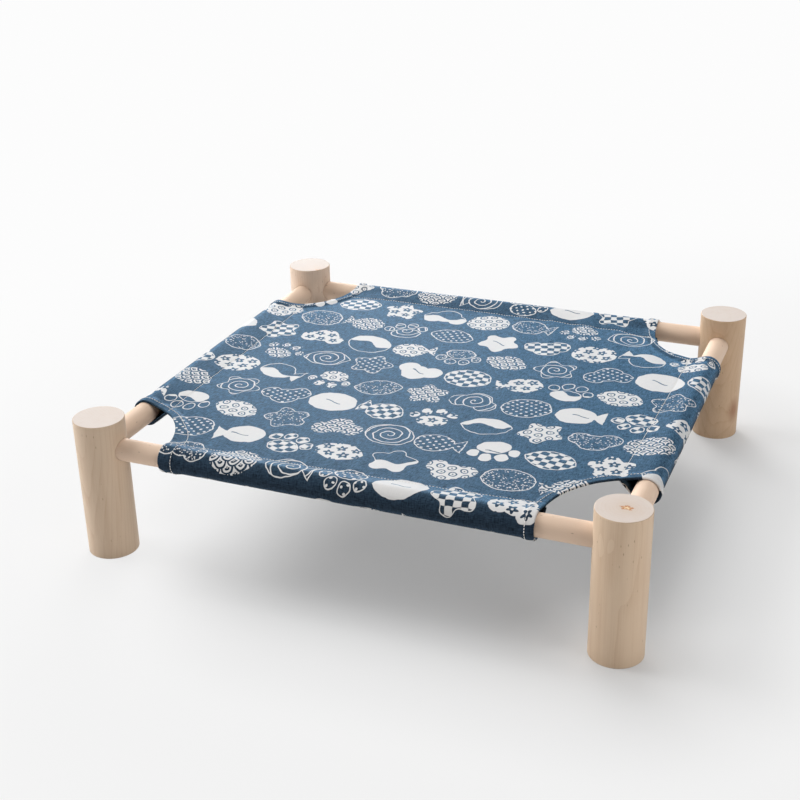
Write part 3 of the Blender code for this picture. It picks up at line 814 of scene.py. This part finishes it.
def sleeve(t, seam, seam_height, radius):
    """Path of the cloth round a rail. For t from 0 to 1 it goes round a circle from the rail's top to
    the angle at which it leaves it, to 2 straight to the seam's underside, and to 3 level under the
    sheet. Gives the distance inboard of the rail, the height, the distance along the cloth from the
    rail's top, and the angle of the cloth's outer normal."""
    rise = seam_height - LAYER_PITCH - LOOP_HEIGHT
    reach = np.hypot(seam, rise)
    leave = 2 * np.pi + np.arctan2(rise, seam) - np.arccos(radius / reach)
    turn = mix(np.pi / 2, leave, np.clip(t, 0, 1))
    straight = np.clip(t - 1, 0, 1)
    past = np.clip(t - 2, 0, 1) * SEAM_ALLOWANCE
    inboard = mix(radius * np.cos(turn), seam, straight)
    height = mix(LOOP_HEIGHT + radius * np.sin(turn), seam_height - LAYER_PITCH, straight)
    along = radius * (turn - np.pi / 2) + straight * np.sqrt(reach**2 - radius**2) + past
    return inboard + past, height, along, turn


def notch_inset(inboard, along, across):
    """How far a cutout still reaches along its rail at a distance inboard of it: a quarter ellipse."""
    share = np.clip(inboard / across, 0, 1)
    return along * np.sqrt(1 - share * share)


def row_ends():
    """Left and right end, in plan, of each row of the sheet from the front rail's top to the back
    rail's. Rows are parallel up to the seam, then end on the cutouts' quarter ellipses at even angles,
    and run from side rail to side rail in the middle."""
    ends = {}
    for end in ALONG_X:
        rows = []
        for hand in ("left", "right"):
            along, across = NOTCH[f"{end}_{hand}"]
            start = np.arcsin(SEAM_INSET[end] / across)
            rolled = SEAM_INSET[end] * np.linspace(0, 1, ROLL_STEPS + 1) ** 1.25
            curved = across * np.sin(np.linspace(start, np.pi / 2, ARC_STEPS + 1)[1:])
            inboard = np.concatenate([rolled, curved])
            x = OUTWARD[hand] * (HALF_X - notch_inset(inboard, along, across))
            rows.append(np.column_stack([x, OUTWARD[end] * (HALF_Y - inboard)]))
        ends[end] = np.stack(rows, axis=1)
    share = np.linspace(0, 1, MIDDLE_STEPS + 1)[1:-1, None, None]
    middle = mix(ends["front"][-1], ends["back"][-1], share)
    return np.concatenate([ends["front"], middle, ends["back"][::-1]])


def column_shares():
    """Shares of the width at which the columns lie: close together in the bands along the side rails,
    wider in the field between them."""
    width = 2 * HALF_X
    band = np.arange(0, BAND_WIDTH, BAND_STEP)
    field = np.linspace(BAND_WIDTH, width - BAND_WIDTH, round((width - 2 * BAND_WIDTH) / FIELD_STEP))
    return np.concatenate([band, field, (width - band)[::-1]]) / width


def follow_seams(plan):
    """Moves the lattice in plan so that a row lies on each bent seam. A point beside a rail moves in
    proportion to its distance from it, and past the seam the move fades out over 60 mm."""
    x, y = plan[..., 0], plan[..., 1]
    inboard = HALF_Y - np.abs(y)
    straight = np.where(y < 0, SEAM_INSET["front"], SEAM_INSET["back"])
    move = np.where(y < 0, seam_inset("front", x), seam_inset("back", x)) - straight
    move = move * np.clip(inboard / straight, 0, 1) * (1 - smooth(inboard, straight, straight + 0.06))
    return np.stack([x, np.sign(y) * (HALF_Y - inboard - move)], axis=-1)


def folded_edge(side, place, share, rise):
    """One edge of the canvas past its rail's top: points and flat places, in a row for each step of the
    fold. Its ends lie on the cutouts, and the strip past the seam follows the sheet above it."""
    half_along, half_across = turned(side, HALF_X, HALF_Y)
    sign, step = OUTWARD[side], FOLD_T[:, None]
    seam = seam_inset(side, place)
    seam_height = cover_height(*turned(side, place, sign * (half_across - seam)), rise)
    lift = hem_rise(*turned(side, place, np.full_like(place, sign * half_across)), rise)
    inboard, height, run, _ = sleeve(step, seam, seam_height, LOOP_RADIUS + lift)
    low, high = (notch_inset(inboard, *notch) for notch in side_notches(side))
    along = mix(low - half_along, half_along - high, share)
    x, y = turned(side, along, sign * (half_across - inboard))
    height = np.where(step > 2, cover_height(x, y, rise) - LAYER_PITCH, height)
    flat = turned(side, along, sign * (half_across + run))
    return np.stack([x, y, height], axis=-1), np.stack(flat, axis=-1)


def lay_cover(rise):
    """Points, flat places and index grid of the canvas, without its hems. The sheet's rows and columns
    run on round the rails as four folded edges, and the grid has no points in the four corners."""
    ends, shares = row_ends(), column_shares()
    rows, columns = len(ends), len(shares)
    side_row = ROLL_STEPS + ARC_STEPS
    plan = follow_seams(mix(ends[:, None, 0], ends[:, None, 1], shares[None, :, None]))
    x, y = plan[..., 0], plan[..., 1]
    sheet = np.stack([x, y, cover_height(x, y, rise)], axis=-1)
    down, across = slice(FOLDS, FOLDS + rows), slice(FOLDS, FOLDS + columns)
    straight = slice(side_row, rows - side_row)
    straight_rows = slice(FOLDS + side_row, FOLDS + rows - side_row)
    edges = {"front": x[0], "back": x[-1], "left": y[straight, 0], "right": y[straight, -1]}
    blocks = [((down, across), sheet, plan)]
    for side, edge in edges.items():
        share = shares if side in ALONG_X else (edge - edge[0]) / (edge[-1] - edge[0])
        layers = folded_edge(side, edge, share, rise)
        fold = slice(-FOLDS, None)
        if OUTWARD[side] < 0:
            fold, layers = slice(0, FOLDS), [layer[::-1] for layer in layers]
        if side in ALONG_X:
            blocks.append(((fold, across), *layers))
        else:
            blocks.append(((straight_rows, fold), *(layer.transpose(1, 0, 2) for layer in layers)))
    index = np.full((rows + 2 * FOLDS, columns + 2 * FOLDS), -1)
    count = 0
    for place, points, _ in blocks:
        size = points.shape[0] * points.shape[1]
        index[place] = np.arange(count, count + size).reshape(points.shape[:2])
        count += size
    all_points = np.vstack([points.reshape(-1, 3) for _, points, _ in blocks])
    return all_points, np.vstack([flat.reshape(-1, 2) for _, _, flat in blocks]), index


def cutout_path(index, corner):
    """Indices of the points along a cutout's edge, from just short of the front or back sleeve's seam,
    where the hem still fits between the layers, to just short of the side sleeve's."""
    sign_x, sign_y = CORNERS[corner]
    side_row = FOLDS + ROLL_STEPS + ARC_STEPS
    near = index if sign_y < 0 else index[::-1]
    near = near if sign_x < 0 else near[:, ::-1]
    first = ALLOWANCE_STEPS + 1
    return np.concatenate([near[first:side_row + 1, FOLDS], near[side_row, first:FOLDS][::-1]])


def unit(vectors):
    """Vectors of length 1."""
    return vectors / np.maximum(np.linalg.norm(vectors, axis=-1, keepdims=True), 1e-12)


def hem_strip(edge, normals, flat_edge, hand, width):
    """The cloth folded under a cutout's edge. A half circle of radius r turns from the edge to the
    underside, then the strip runs back inboard: edge - b r sin(a) - n r (1 - cos(a)) for a from 0 to
    pi, then edge - 2 r n + b d, with b inboard along the cloth and n its outer normal."""
    tangent = unit(np.gradient(edge, axis=0))
    inboard = unit(hand * np.cross(tangent, normals))
    angles = np.linspace(0, np.pi, 9)[1:]
    roll, drop = inboard * HEM_ROLL, normals * HEM_ROLL
    curl = [edge - roll * math.sin(a) - drop * (1 - math.cos(a)) for a in angles]
    shares = np.linspace(0, 1, 5)[1:]
    back = [edge - 2 * HEM_ROLL * normals + inboard * (width * s)[:, None] for s in shares]
    along = unit(np.gradient(flat_edge, axis=0))
    outward = hand * np.column_stack([-along[:, 1], along[:, 0]])
    lengths = [np.full(len(edge), HEM_ROLL * a) for a in angles]
    lengths += [HEM_ROLL * np.pi + width * s for s in shares]
    flat = [flat_edge + outward * length[:, None] for length in lengths]
    return np.stack(curl + back, axis=1), np.stack(flat, axis=1)


def surface_normals(points, faces):
    """Outward normals at a surface's points: the cross products of the diagonals of the quads round each
    point, added up and made length 1."""
    a, b, c, d = (points[faces[:, k]] for k in range(4))
    facing = np.cross(c - a, d - b)
    total = np.zeros_like(points)
    for k in range(4):
        np.add.at(total, faces[:, k], facing)
    return unit(total)


def thick_cloth(name, points, normals, faces, flat, thickness, materials):
    """Cloth with a right side and a reverse, half a thickness either way along the normals from its
    middle surface, and a rim of quads round its edges. The reverse has the second material."""
    count = len(points)
    half = normals * (thickness / 2)
    edges = np.concatenate([faces[:, [k, (k + 1) % 4]] for k in range(4)])
    _, first, uses = np.unique(np.sort(edges, axis=1), axis=0, return_index=True, return_counts=True)
    start, end = edges[first[uses == 1]].T
    rim = np.column_stack([end, start, start + count, end + count])
    all_faces = np.vstack([faces, rim, faces[:, ::-1] + count])
    places = np.column_stack([np.tile(flat, (2, 1)), np.zeros(2 * count)])
    both = np.vstack([points + half, points - half])
    piece = new_piece(name, both, all_faces.tolist(), materials, {"flat_cloth": places})
    reverse = np.arange(len(all_faces)) >= len(faces) + len(rim)
    piece.data.polygons.foreach_set("material_index", reverse.astype(np.int32))
    piece.data.normals_split_custom_set_from_vertices(np.vstack([normals, -normals]).tolist())
    return piece


def make_cover(cloth, materials):
    """The canvas: one cloth that spans the rails, is folded round all four and sewn down, and has a hem
    folded under each of its cutouts."""
    points, flat, index = lay_cover(cloth.hem_rise)
    faces = grid_faces(index)
    on_sheet = index[FOLDS:-FOLDS, FOLDS:-FOLDS].ravel()
    sheet_up = sheet_normals(points[on_sheet, 0], points[on_sheet, 1], cloth.hem_rise)
    normals = surface_normals(points, faces)
    normals[on_sheet] = sheet_up
    for corner in CORNERS:
        edge = cutout_path(index, corner)
        hand = CORNERS[corner][0] * CORNERS[corner][1]
        width = hem_width(points[edge, 0], points[edge, 1])
        strip, strip_flat = hem_strip(points[edge], normals[edge], flat[edge], hand, width)
        first = len(points)
        strip_ids = first + np.arange(strip[..., 0].size).reshape(strip.shape[:2])
        ids = np.hstack([edge[:, None], strip_ids])
        points = np.vstack([points, strip.reshape(-1, 3)])
        flat = np.vstack([flat, strip_flat.reshape(-1, 2)])
        new_faces = grid_faces(ids)
        faces = np.vstack([faces, new_faces[:, ::-1] if hand > 0 else new_faces])
    normals = surface_normals(points, faces)
    normals[on_sheet] = sheet_up
    cover = thick_cloth("canvas_cover", points, normals, faces, flat, cloth.thickness, materials)
    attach(cover, "root")
    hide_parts("canvas_sling")


# Stitching


SEAM_INTO_HEM = 0.4  # share of a hem's width that a seam's stitches stay away from the cutout


def at_runs(values, run, spots):
    """Values given along a path at the distances in run, read at the spots between them."""
    return np.column_stack([np.interp(spots, run, values[:, k]) for k in range(3)])


def stitch_places(path, normals, pitch, random):
    """Places, directions and normals of stitches at an even pitch along a path, each moved and turned a
    little at random."""
    steps = np.linalg.norm(np.diff(path, axis=0), axis=1)
    run = np.concatenate([[0], np.cumsum(steps)])
    count = max(1, int(run[-1] / pitch))
    spots = (np.arange(count) + 0.5) * run[-1] / count + random.uniform(-0.15, 0.15, count) * pitch * 0.5
    near = 0.0006
    place = at_runs(path, run, spots)
    normal = unit(at_runs(normals, run, spots))
    along = unit(at_runs(path, run, spots + near) - at_runs(path, run, spots - near))
    side = unit(np.cross(normal, along))
    along = unit(along + side * random.uniform(-0.07, 0.07, count)[:, None])
    return place, along, normal


def stitch_mesh(place, along, normal, length, radius):
    """Stitches as small arched capsules: for u from -1 to 1 the middle is at place + along u l/2 -
    normal 0.9 r u^4, and the section is an oval of radius r sqrt(1 - u^4), a little flattened."""
    sides, shares = 6, np.linspace(-1, 1, 7)
    side = unit(np.cross(normal, along))
    turn = np.arange(sides) * (2 * np.pi / sides)
    u = shares[1:-1]
    middle = (
        place[:, None] + along[:, None] * (u * length / 2)[None, :, None]
        - normal[:, None] * (0.9 * radius * u**4)[None, :, None]
    )
    size = radius * np.sqrt(1 - u**4)
    rings = (
        middle[:, :, None]
        + side[:, None, None] * (size[:, None] * np.cos(turn))[None, :, :, None]
        + normal[:, None, None] * (0.75 * size[:, None] * np.sin(turn))[None, :, :, None]
    )
    tips = np.stack([place + along * (k * length / 2) - normal * (0.9 * radius) for k in (-1, 1)], axis=1)
    count, inner = len(place), len(u) * sides
    points = np.concatenate([rings.reshape(count, inner, 3), tips], axis=1)
    quads, fans = tube_faces(len(u), sides)
    start = (np.arange(count) * (inner + 2))[:, None, None]
    quads = (quads[None] + start).reshape(-1, 4)
    fans = (fans[None] + start).reshape(-1, 3)
    return points.reshape(-1, 3), quads[:, ::-1].tolist() + fans[:, ::-1].tolist()


def seam_path(side, rise):
    """The line of a sleeve's seam on the sheet, in plan, between the hems' stitches, and its normals."""
    half_along, half_across = turned(side, HALF_X, HALF_Y)
    ends = []
    for corner, notch, hand in zip(side_corners(side), side_notches(side), (-1, 1)):
        hem = turned(side, *HEM[corner])[0]
        ends.append(hand * (half_along - notch_inset(SEAM_INSET[side], *notch) - hem * SEAM_INTO_HEM))
    place = np.linspace(*ends, 240)
    x, y = turned(side, place, OUTWARD[side] * (half_across - seam_inset(side, place)))
    return np.column_stack([x, y, cover_height(x, y, rise)]), sheet_normals(x, y, rise)


def sleeve_hem_path(side, station, rise):
    """The line of a hem's stitches round a sleeve at a station along it, from the rail's top to near the
    seam's underside, and its normals."""
    half_across = turned(side, HALF_X, HALF_Y)[1]
    sign, seam = OUTWARD[side], seam_inset(side, station)
    lift = hem_rise(*turned(side, station, sign * half_across), rise)
    seam_height = cover_height(*turned(side, station, sign * (half_across - seam)), rise)
    inboard, height, _, turn = sleeve(np.linspace(0.0, 1.8, 60), seam, seam_height, LOOP_RADIUS + lift)
    still = np.full_like(height, station)
    points = np.column_stack([*turned(side, still, sign * (half_across - inboard)), height])
    normals = np.column_stack([*turned(side, np.zeros_like(height), -sign * np.cos(turn)), np.sin(turn)])
    return points, normals


def hem_path(corner, rise):
    """The line of a hem's stitches and its normals: round one sleeve's end from the underside, along
    the cutout, and round the other sleeve's end."""
    end, hand = corner.split("_")
    sign_x, sign_y = CORNERS[corner]
    along, across = NOTCH[corner]
    first = sleeve_hem_path(end, sign_x * (HALF_X - along - HEM[corner][0]), rise)
    last = sleeve_hem_path(hand, sign_y * (HALF_Y - across - HEM[corner][1]), rise)
    turn = np.linspace(0, np.pi / 2, 80)[1:-1]
    width = mix(*HEM[corner], smooth(turn, *HEM_CHANGE))
    x = sign_x * (HALF_X - (along + width) * np.cos(turn))
    y = sign_y * (HALF_Y - (across + width) * np.sin(turn))
    sheet = (np.column_stack([x, y, cover_height(x, y, rise)]), sheet_normals(x, y, rise))
    return tuple(np.vstack([first[k][::-1], sheet[k], last[k]]) for k in (0, 1))


def make_stitches(name, runs, stitching, material, stands_for):
    """One piece of stitches along the given runs of (path, normals)."""
    random = np.random.default_rng(sum(ord(letter) for letter in name))
    places = [stitch_places(path, normals, stitching.pitch, random) for path, normals in runs]
    places = [np.concatenate(parts) for parts in zip(*places)]
    points, faces = stitch_mesh(*places, stitching.length, stitching.radius)
    piece = new_piece(name, points, faces, [material])
    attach(piece, "root")
    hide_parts(stands_for)


# Settings


def colour_setting(name, description, code):
    """A colour whose default is an sRGB hex value."""
    return bpy.props.FloatVectorProperty(
        name=name, description=description, subtype="COLOR", size=4, default=linear(code)
    )


def length_setting(name, description, default):
    """A length in metres."""
    return bpy.props.FloatProperty(
        name=name, description=description, default=default, unit="LENGTH", precision=5
    )


def share_setting(name, description, default, high=1.0):
    """A share, or a factor where it may be above 1."""
    return bpy.props.FloatProperty(name=name, description=description, default=default, min=0.0, max=high)


class CatBedWood(bpy.types.PropertyGroup):
    """Sizes and colours of the pine."""

    ring_spacing: bpy.props.FloatProperty(
        name="Ring spacing", description="Width of a growth ring in millimetres",
        default=3.1, min=0.5, max=10.0,
    )
    leg_early: colour_setting("Leg early wood", "Pale wood between the rings of the legs", "#d4bb9f")
    leg_late: colour_setting("Leg late wood", "Darker wood of the rings of the legs", "#bd9c7c")
    rail_early: colour_setting("Rail early wood", "Pale wood between the rings of the rails", "#e4c8b0")
    rail_late: colour_setting("Rail late wood", "Darker wood of the rings of the rails", "#d6b699")
    end_grain: colour_setting("End grain", "Pinkish pale wood of the sawn ends", "#d8cdc5")


class CatBedCloth(bpy.types.PropertyGroup):
    """Sizes and colours of the canvas."""

    thickness: length_setting("Thickness", "Thickness of the canvas", 0.0008)
    hem_rise: length_setting("Hem rise", "How far a hem lifts the cloth over it", 0.0012)
    motif_pitch_x: length_setting("Motif pitch across", "Distance between motifs in a row", 0.055)
    motif_pitch_y: length_setting("Motif pitch up", "Distance between rows of motifs", 0.0515)
    dark_blue: colour_setting("Dark yarn", "Darker blue of the yarn", "#172029")
    pale_blue: colour_setting("Pale yarn", "Paler blue of the yarn", "#323f4e")
    bloom: colour_setting("Bloom", "Pale blue of the light that the fibres catch", "#8cccff")
    bloom_share: share_setting("Bloom share", "Strength of the light that the fibres catch", 1.0)
    back_dark: colour_setting("Dark reverse", "Darker blue of the cloth's reverse", "#151b22")
    back_pale: colour_setting("Pale reverse", "Paler blue of the cloth's reverse", "#303c49")
    ink_white: colour_setting("Print", "Off-white of the print", "#dfdddb")


class CatBedStitching(bpy.types.PropertyGroup):
    """Sizes and colours of the stitching."""

    length: length_setting("Stitch length", "Length of thread that shows in a stitch", 0.0025)
    pitch: length_setting("Stitch pitch", "Distance from stitch to stitch", 0.0031)
    radius: length_setting("Thread radius", "Radius of the thread", 0.00036)
    white: colour_setting("Thread", "White of the thread", "#f2efec")
    shade: colour_setting("Thread shade", "Shade between the plies", "#cfcac6")


class CatBedStage(bpy.types.PropertyGroup):
    """Light, floor and camera."""

    light: share_setting("Light", "Factor on the power of every lamp", 1.0, high=10.0)
    shadow_lift: share_setting("Shadow lift", "Share of even white that the camera sees on the floor", 0.4)
    lift_tone: share_setting("Lift tone", "Tone of that even white beside the bed", 0.68)
    floor_colour: colour_setting("Floor", "White of the floor", "#f3f3f3")
    lens: bpy.props.FloatProperty(
        name="Lens", description="Focal length of the camera in millimetres", default=60.66, unit="CAMERA"
    )


SETTINGS = {
    "cat_bed_wood": CatBedWood,
    "cat_bed_cloth": CatBedCloth,
    "cat_bed_stitching": CatBedStitching,
    "cat_bed_stage": CatBedStage,
}


# Operators


class CATBED_OT_legs(bpy.types.Operator):
    """Make the four turned legs"""

    bl_idname = "cat_bed.legs"
    bl_label = "Legs"

    def execute(self, context):
        wood = context.scene.cat_bed_wood
        for corner in CORNERS:
            name = f"turned_pine_{corner}"
            make_leg(corner, pine(name, wood, wood.leg_early, wood.leg_late, 0.8, 0.32, *LEG_SHADE[corner]))
        return {"FINISHED"}


class CATBED_OT_rails(bpy.types.Operator):
    """Make the four dowel rails"""

    bl_idname = "cat_bed.rails"
    bl_label = "Rails"

    def execute(self, context):
        wood = context.scene.cat_bed_wood
        material = pine("pine_dowel", wood, wood.rail_early, wood.rail_late, 0.45, 0.1)
        for order, side in enumerate(SIDES):
            make_rail(side, material, order)
        return {"FINISHED"}


class CATBED_OT_stitching(bpy.types.Operator):
    """Make the stitches of the four seams and the four hems"""

    bl_idname = "cat_bed.stitching"
    bl_label = "Stitching"

    def execute(self, context):
        stitching, cloth = context.scene.cat_bed_stitching, context.scene.cat_bed_cloth
        material = sewing_thread("spun_thread", stitching)
        out = cloth.thickness / 2 + stitching.radius * 0.45
        for side in SIDES:
            path, normals = seam_path(side, cloth.hem_rise)
            under = path - (0, 0, LAYER_PITCH) - normals * out
            runs = [(path + normals * out, normals), (under, -normals)]
            make_stitches(f"stitches_seam_{side}", runs, stitching, material, f"seam_thread_{side}")
        for corner in CORNERS:
            path, normals = hem_path(corner, cloth.hem_rise)
            runs = [(path + normals * out, normals)]
            make_stitches(f"stitches_hem_{corner}", runs, stitching, material, f"hem_thread_{corner}")
        return {"FINISHED"}


class CATBED_OT_cover(bpy.types.Operator):
    """Make the printed canvas with its sleeves and hems"""

    bl_idname = "cat_bed.cover"
    bl_label = "Canvas"

    def execute(self, context):
        cloth = context.scene.cat_bed_cloth
        materials = [canvas("printed_canvas", cloth, True), canvas("canvas_reverse", cloth, False)]
        make_cover(cloth, materials)
        return {"FINISHED"}


class CATBED_OT_stage(bpy.types.Operator):
    """Set the floor, the lights, the room and the camera"""

    bl_idname = "cat_bed.stage"
    bl_label = "Stage"

    def execute(self, context):
        stage = context.scene.cat_bed_stage
        make_floor(stage)
        make_lights(stage)
        make_camera(stage)
        context.scene.view_settings.view_transform = "Standard"
        return {"FINISHED"}


class CATBED_PT_panel(bpy.types.Panel):
    """Lists the bed's pieces and settings"""

    bl_label = "Cat Bed"
    bl_idname = "CATBED_PT_panel"
    bl_space_type = "VIEW_3D"
    bl_region_type = "UI"
    bl_category = "Cat Bed"

    def draw(self, context):
        for operator in OPERATORS:
            self.layout.operator(operator.bl_idname)
        for key, group in SETTINGS.items():
            box = self.layout.box()
            for name in group.__annotations__:
                box.prop(getattr(context.scene, key), name)


OPERATORS = (CATBED_OT_legs, CATBED_OT_rails, CATBED_OT_stitching, CATBED_OT_cover, CATBED_OT_stage)


def register():
    """Registers the classes and adds the settings to the scene."""
    for item in (*SETTINGS.values(), *OPERATORS, CATBED_PT_panel):
        bpy.utils.register_class(item)
    for key, group in SETTINGS.items():
        setattr(bpy.types.Scene, key, bpy.props.PointerProperty(type=group))


def unregister():
    """Takes the settings off the scene and unregisters the classes."""
    for key in SETTINGS:
        delattr(bpy.types.Scene, key)
    for item in (CATBED_PT_panel, *reversed(OPERATORS), *SETTINGS.values()):
        bpy.utils.unregister_class(item)


# Stage


FLOOR_REACH = 15.0
FLOOR_DROP = 0.0001
AIM = (0, 0, 0.1)  # the place between the legs that the lamps point at
LAMPS = (
    ("window_low", 120, 14, 1.7, 0.9, 18),
    ("window_back", 120, 64, 4.0, 2.1, 55),
    ("window_left", 180, 40, 4.0, 2.1, 70),
    ("wall_left", 197, 12, 4.0, 2.1, 78),
    ("wall_right", 339, 12, 4.0, 2.1, 57),
    ("ceiling", 60, 84, 4.0, 2.1, 40),
)  # name, bearing from +X and height in degrees, distance and diameter in metres, power in watts
CAMERA_PLACE = (0.4653, -1.2089, 0.7018)
CAMERA_TURN = (-22.6997, 24.8776, 1.2457)  # to the right of +Y, down and rolled, in degrees


def make_floor(stage):
    """A wide plain floor, a little below the feet's level so that the two don't flicker."""
    corners = FLOOR_REACH * np.array([(-1, -1, 0), (1, -1, 0), (1, 1, 0), (-1, 1, 0)])
    floor = new_piece("floor", corners - (0, 0, FLOOR_DROP), [(0, 1, 2, 3)], [studio_floor(stage)])


def make_lights(stage):
    """Round soft lamps that point at the bed, for the windows behind and on the left, the pale walls
    and the ceiling. The room itself is white to the camera and adds no light."""
    for name, bearing, height, distance, size, power in LAMPS:
        light = bpy.data.lights.new(name, "AREA")
        light.shape = "DISK"
        light.size = size
        light.energy = power * stage.light
        lamp = bpy.data.objects.new(name, light)
        turn, rise = math.radians(bearing), math.radians(height)
        way = Vector((math.cos(turn) * math.cos(rise), math.sin(turn) * math.cos(rise), math.sin(rise)))
        lamp.location = way * distance + Vector(AIM)
        lamp.rotation_euler = (-way).to_track_quat("-Z", "Y").to_euler()
        bpy.context.scene.collection.objects.link(lamp)
    world = bpy.data.worlds.new("room")
    bpy.context.scene.world = world
    world.use_nodes = True
    room = world.node_tree.nodes["Background"]
    fill(world.node_tree, room.inputs["Color"], (1.0, 1.0, 1.0, 1.0))
    fill(world.node_tree, room.inputs["Strength"], seen_directly(world.node_tree))


def make_camera(stage):
    """The camera at the photograph's viewing angle."""
    yaw, pitch, roll = (math.radians(angle) for angle in CAMERA_TURN)
    ahead = Vector((math.sin(yaw) * math.cos(pitch), math.cos(yaw) * math.cos(pitch), -math.sin(pitch)))
    right = Vector((math.cos(yaw), -math.sin(yaw), 0.0))
    down = ahead.cross(right)
    turned_right = math.cos(roll) * right + math.sin(roll) * down
    turned_up = math.sin(roll) * right - math.cos(roll) * down
    camera = bpy.data.cameras.new("camera")
    camera.lens = stage.lens
    camera.sensor_width = 36.0
    rig = bpy.data.objects.new("camera", camera)
    axes = Matrix((turned_right, turned_up, -ahead)).transposed().to_4x4()
    rig.matrix_world = Matrix.Translation(CAMERA_PLACE) @ axes
    bpy.context.scene.collection.objects.link(rig)
    bpy.context.scene.camera = rig


def main():
    """Builds the bed and its stage."""
    register()
    steps = bpy.ops.cat_bed
    for operator in (steps.legs, steps.rails, steps.stitching, steps.cover, steps.stage):
        operator()


if __name__ == "__main__":
    main()
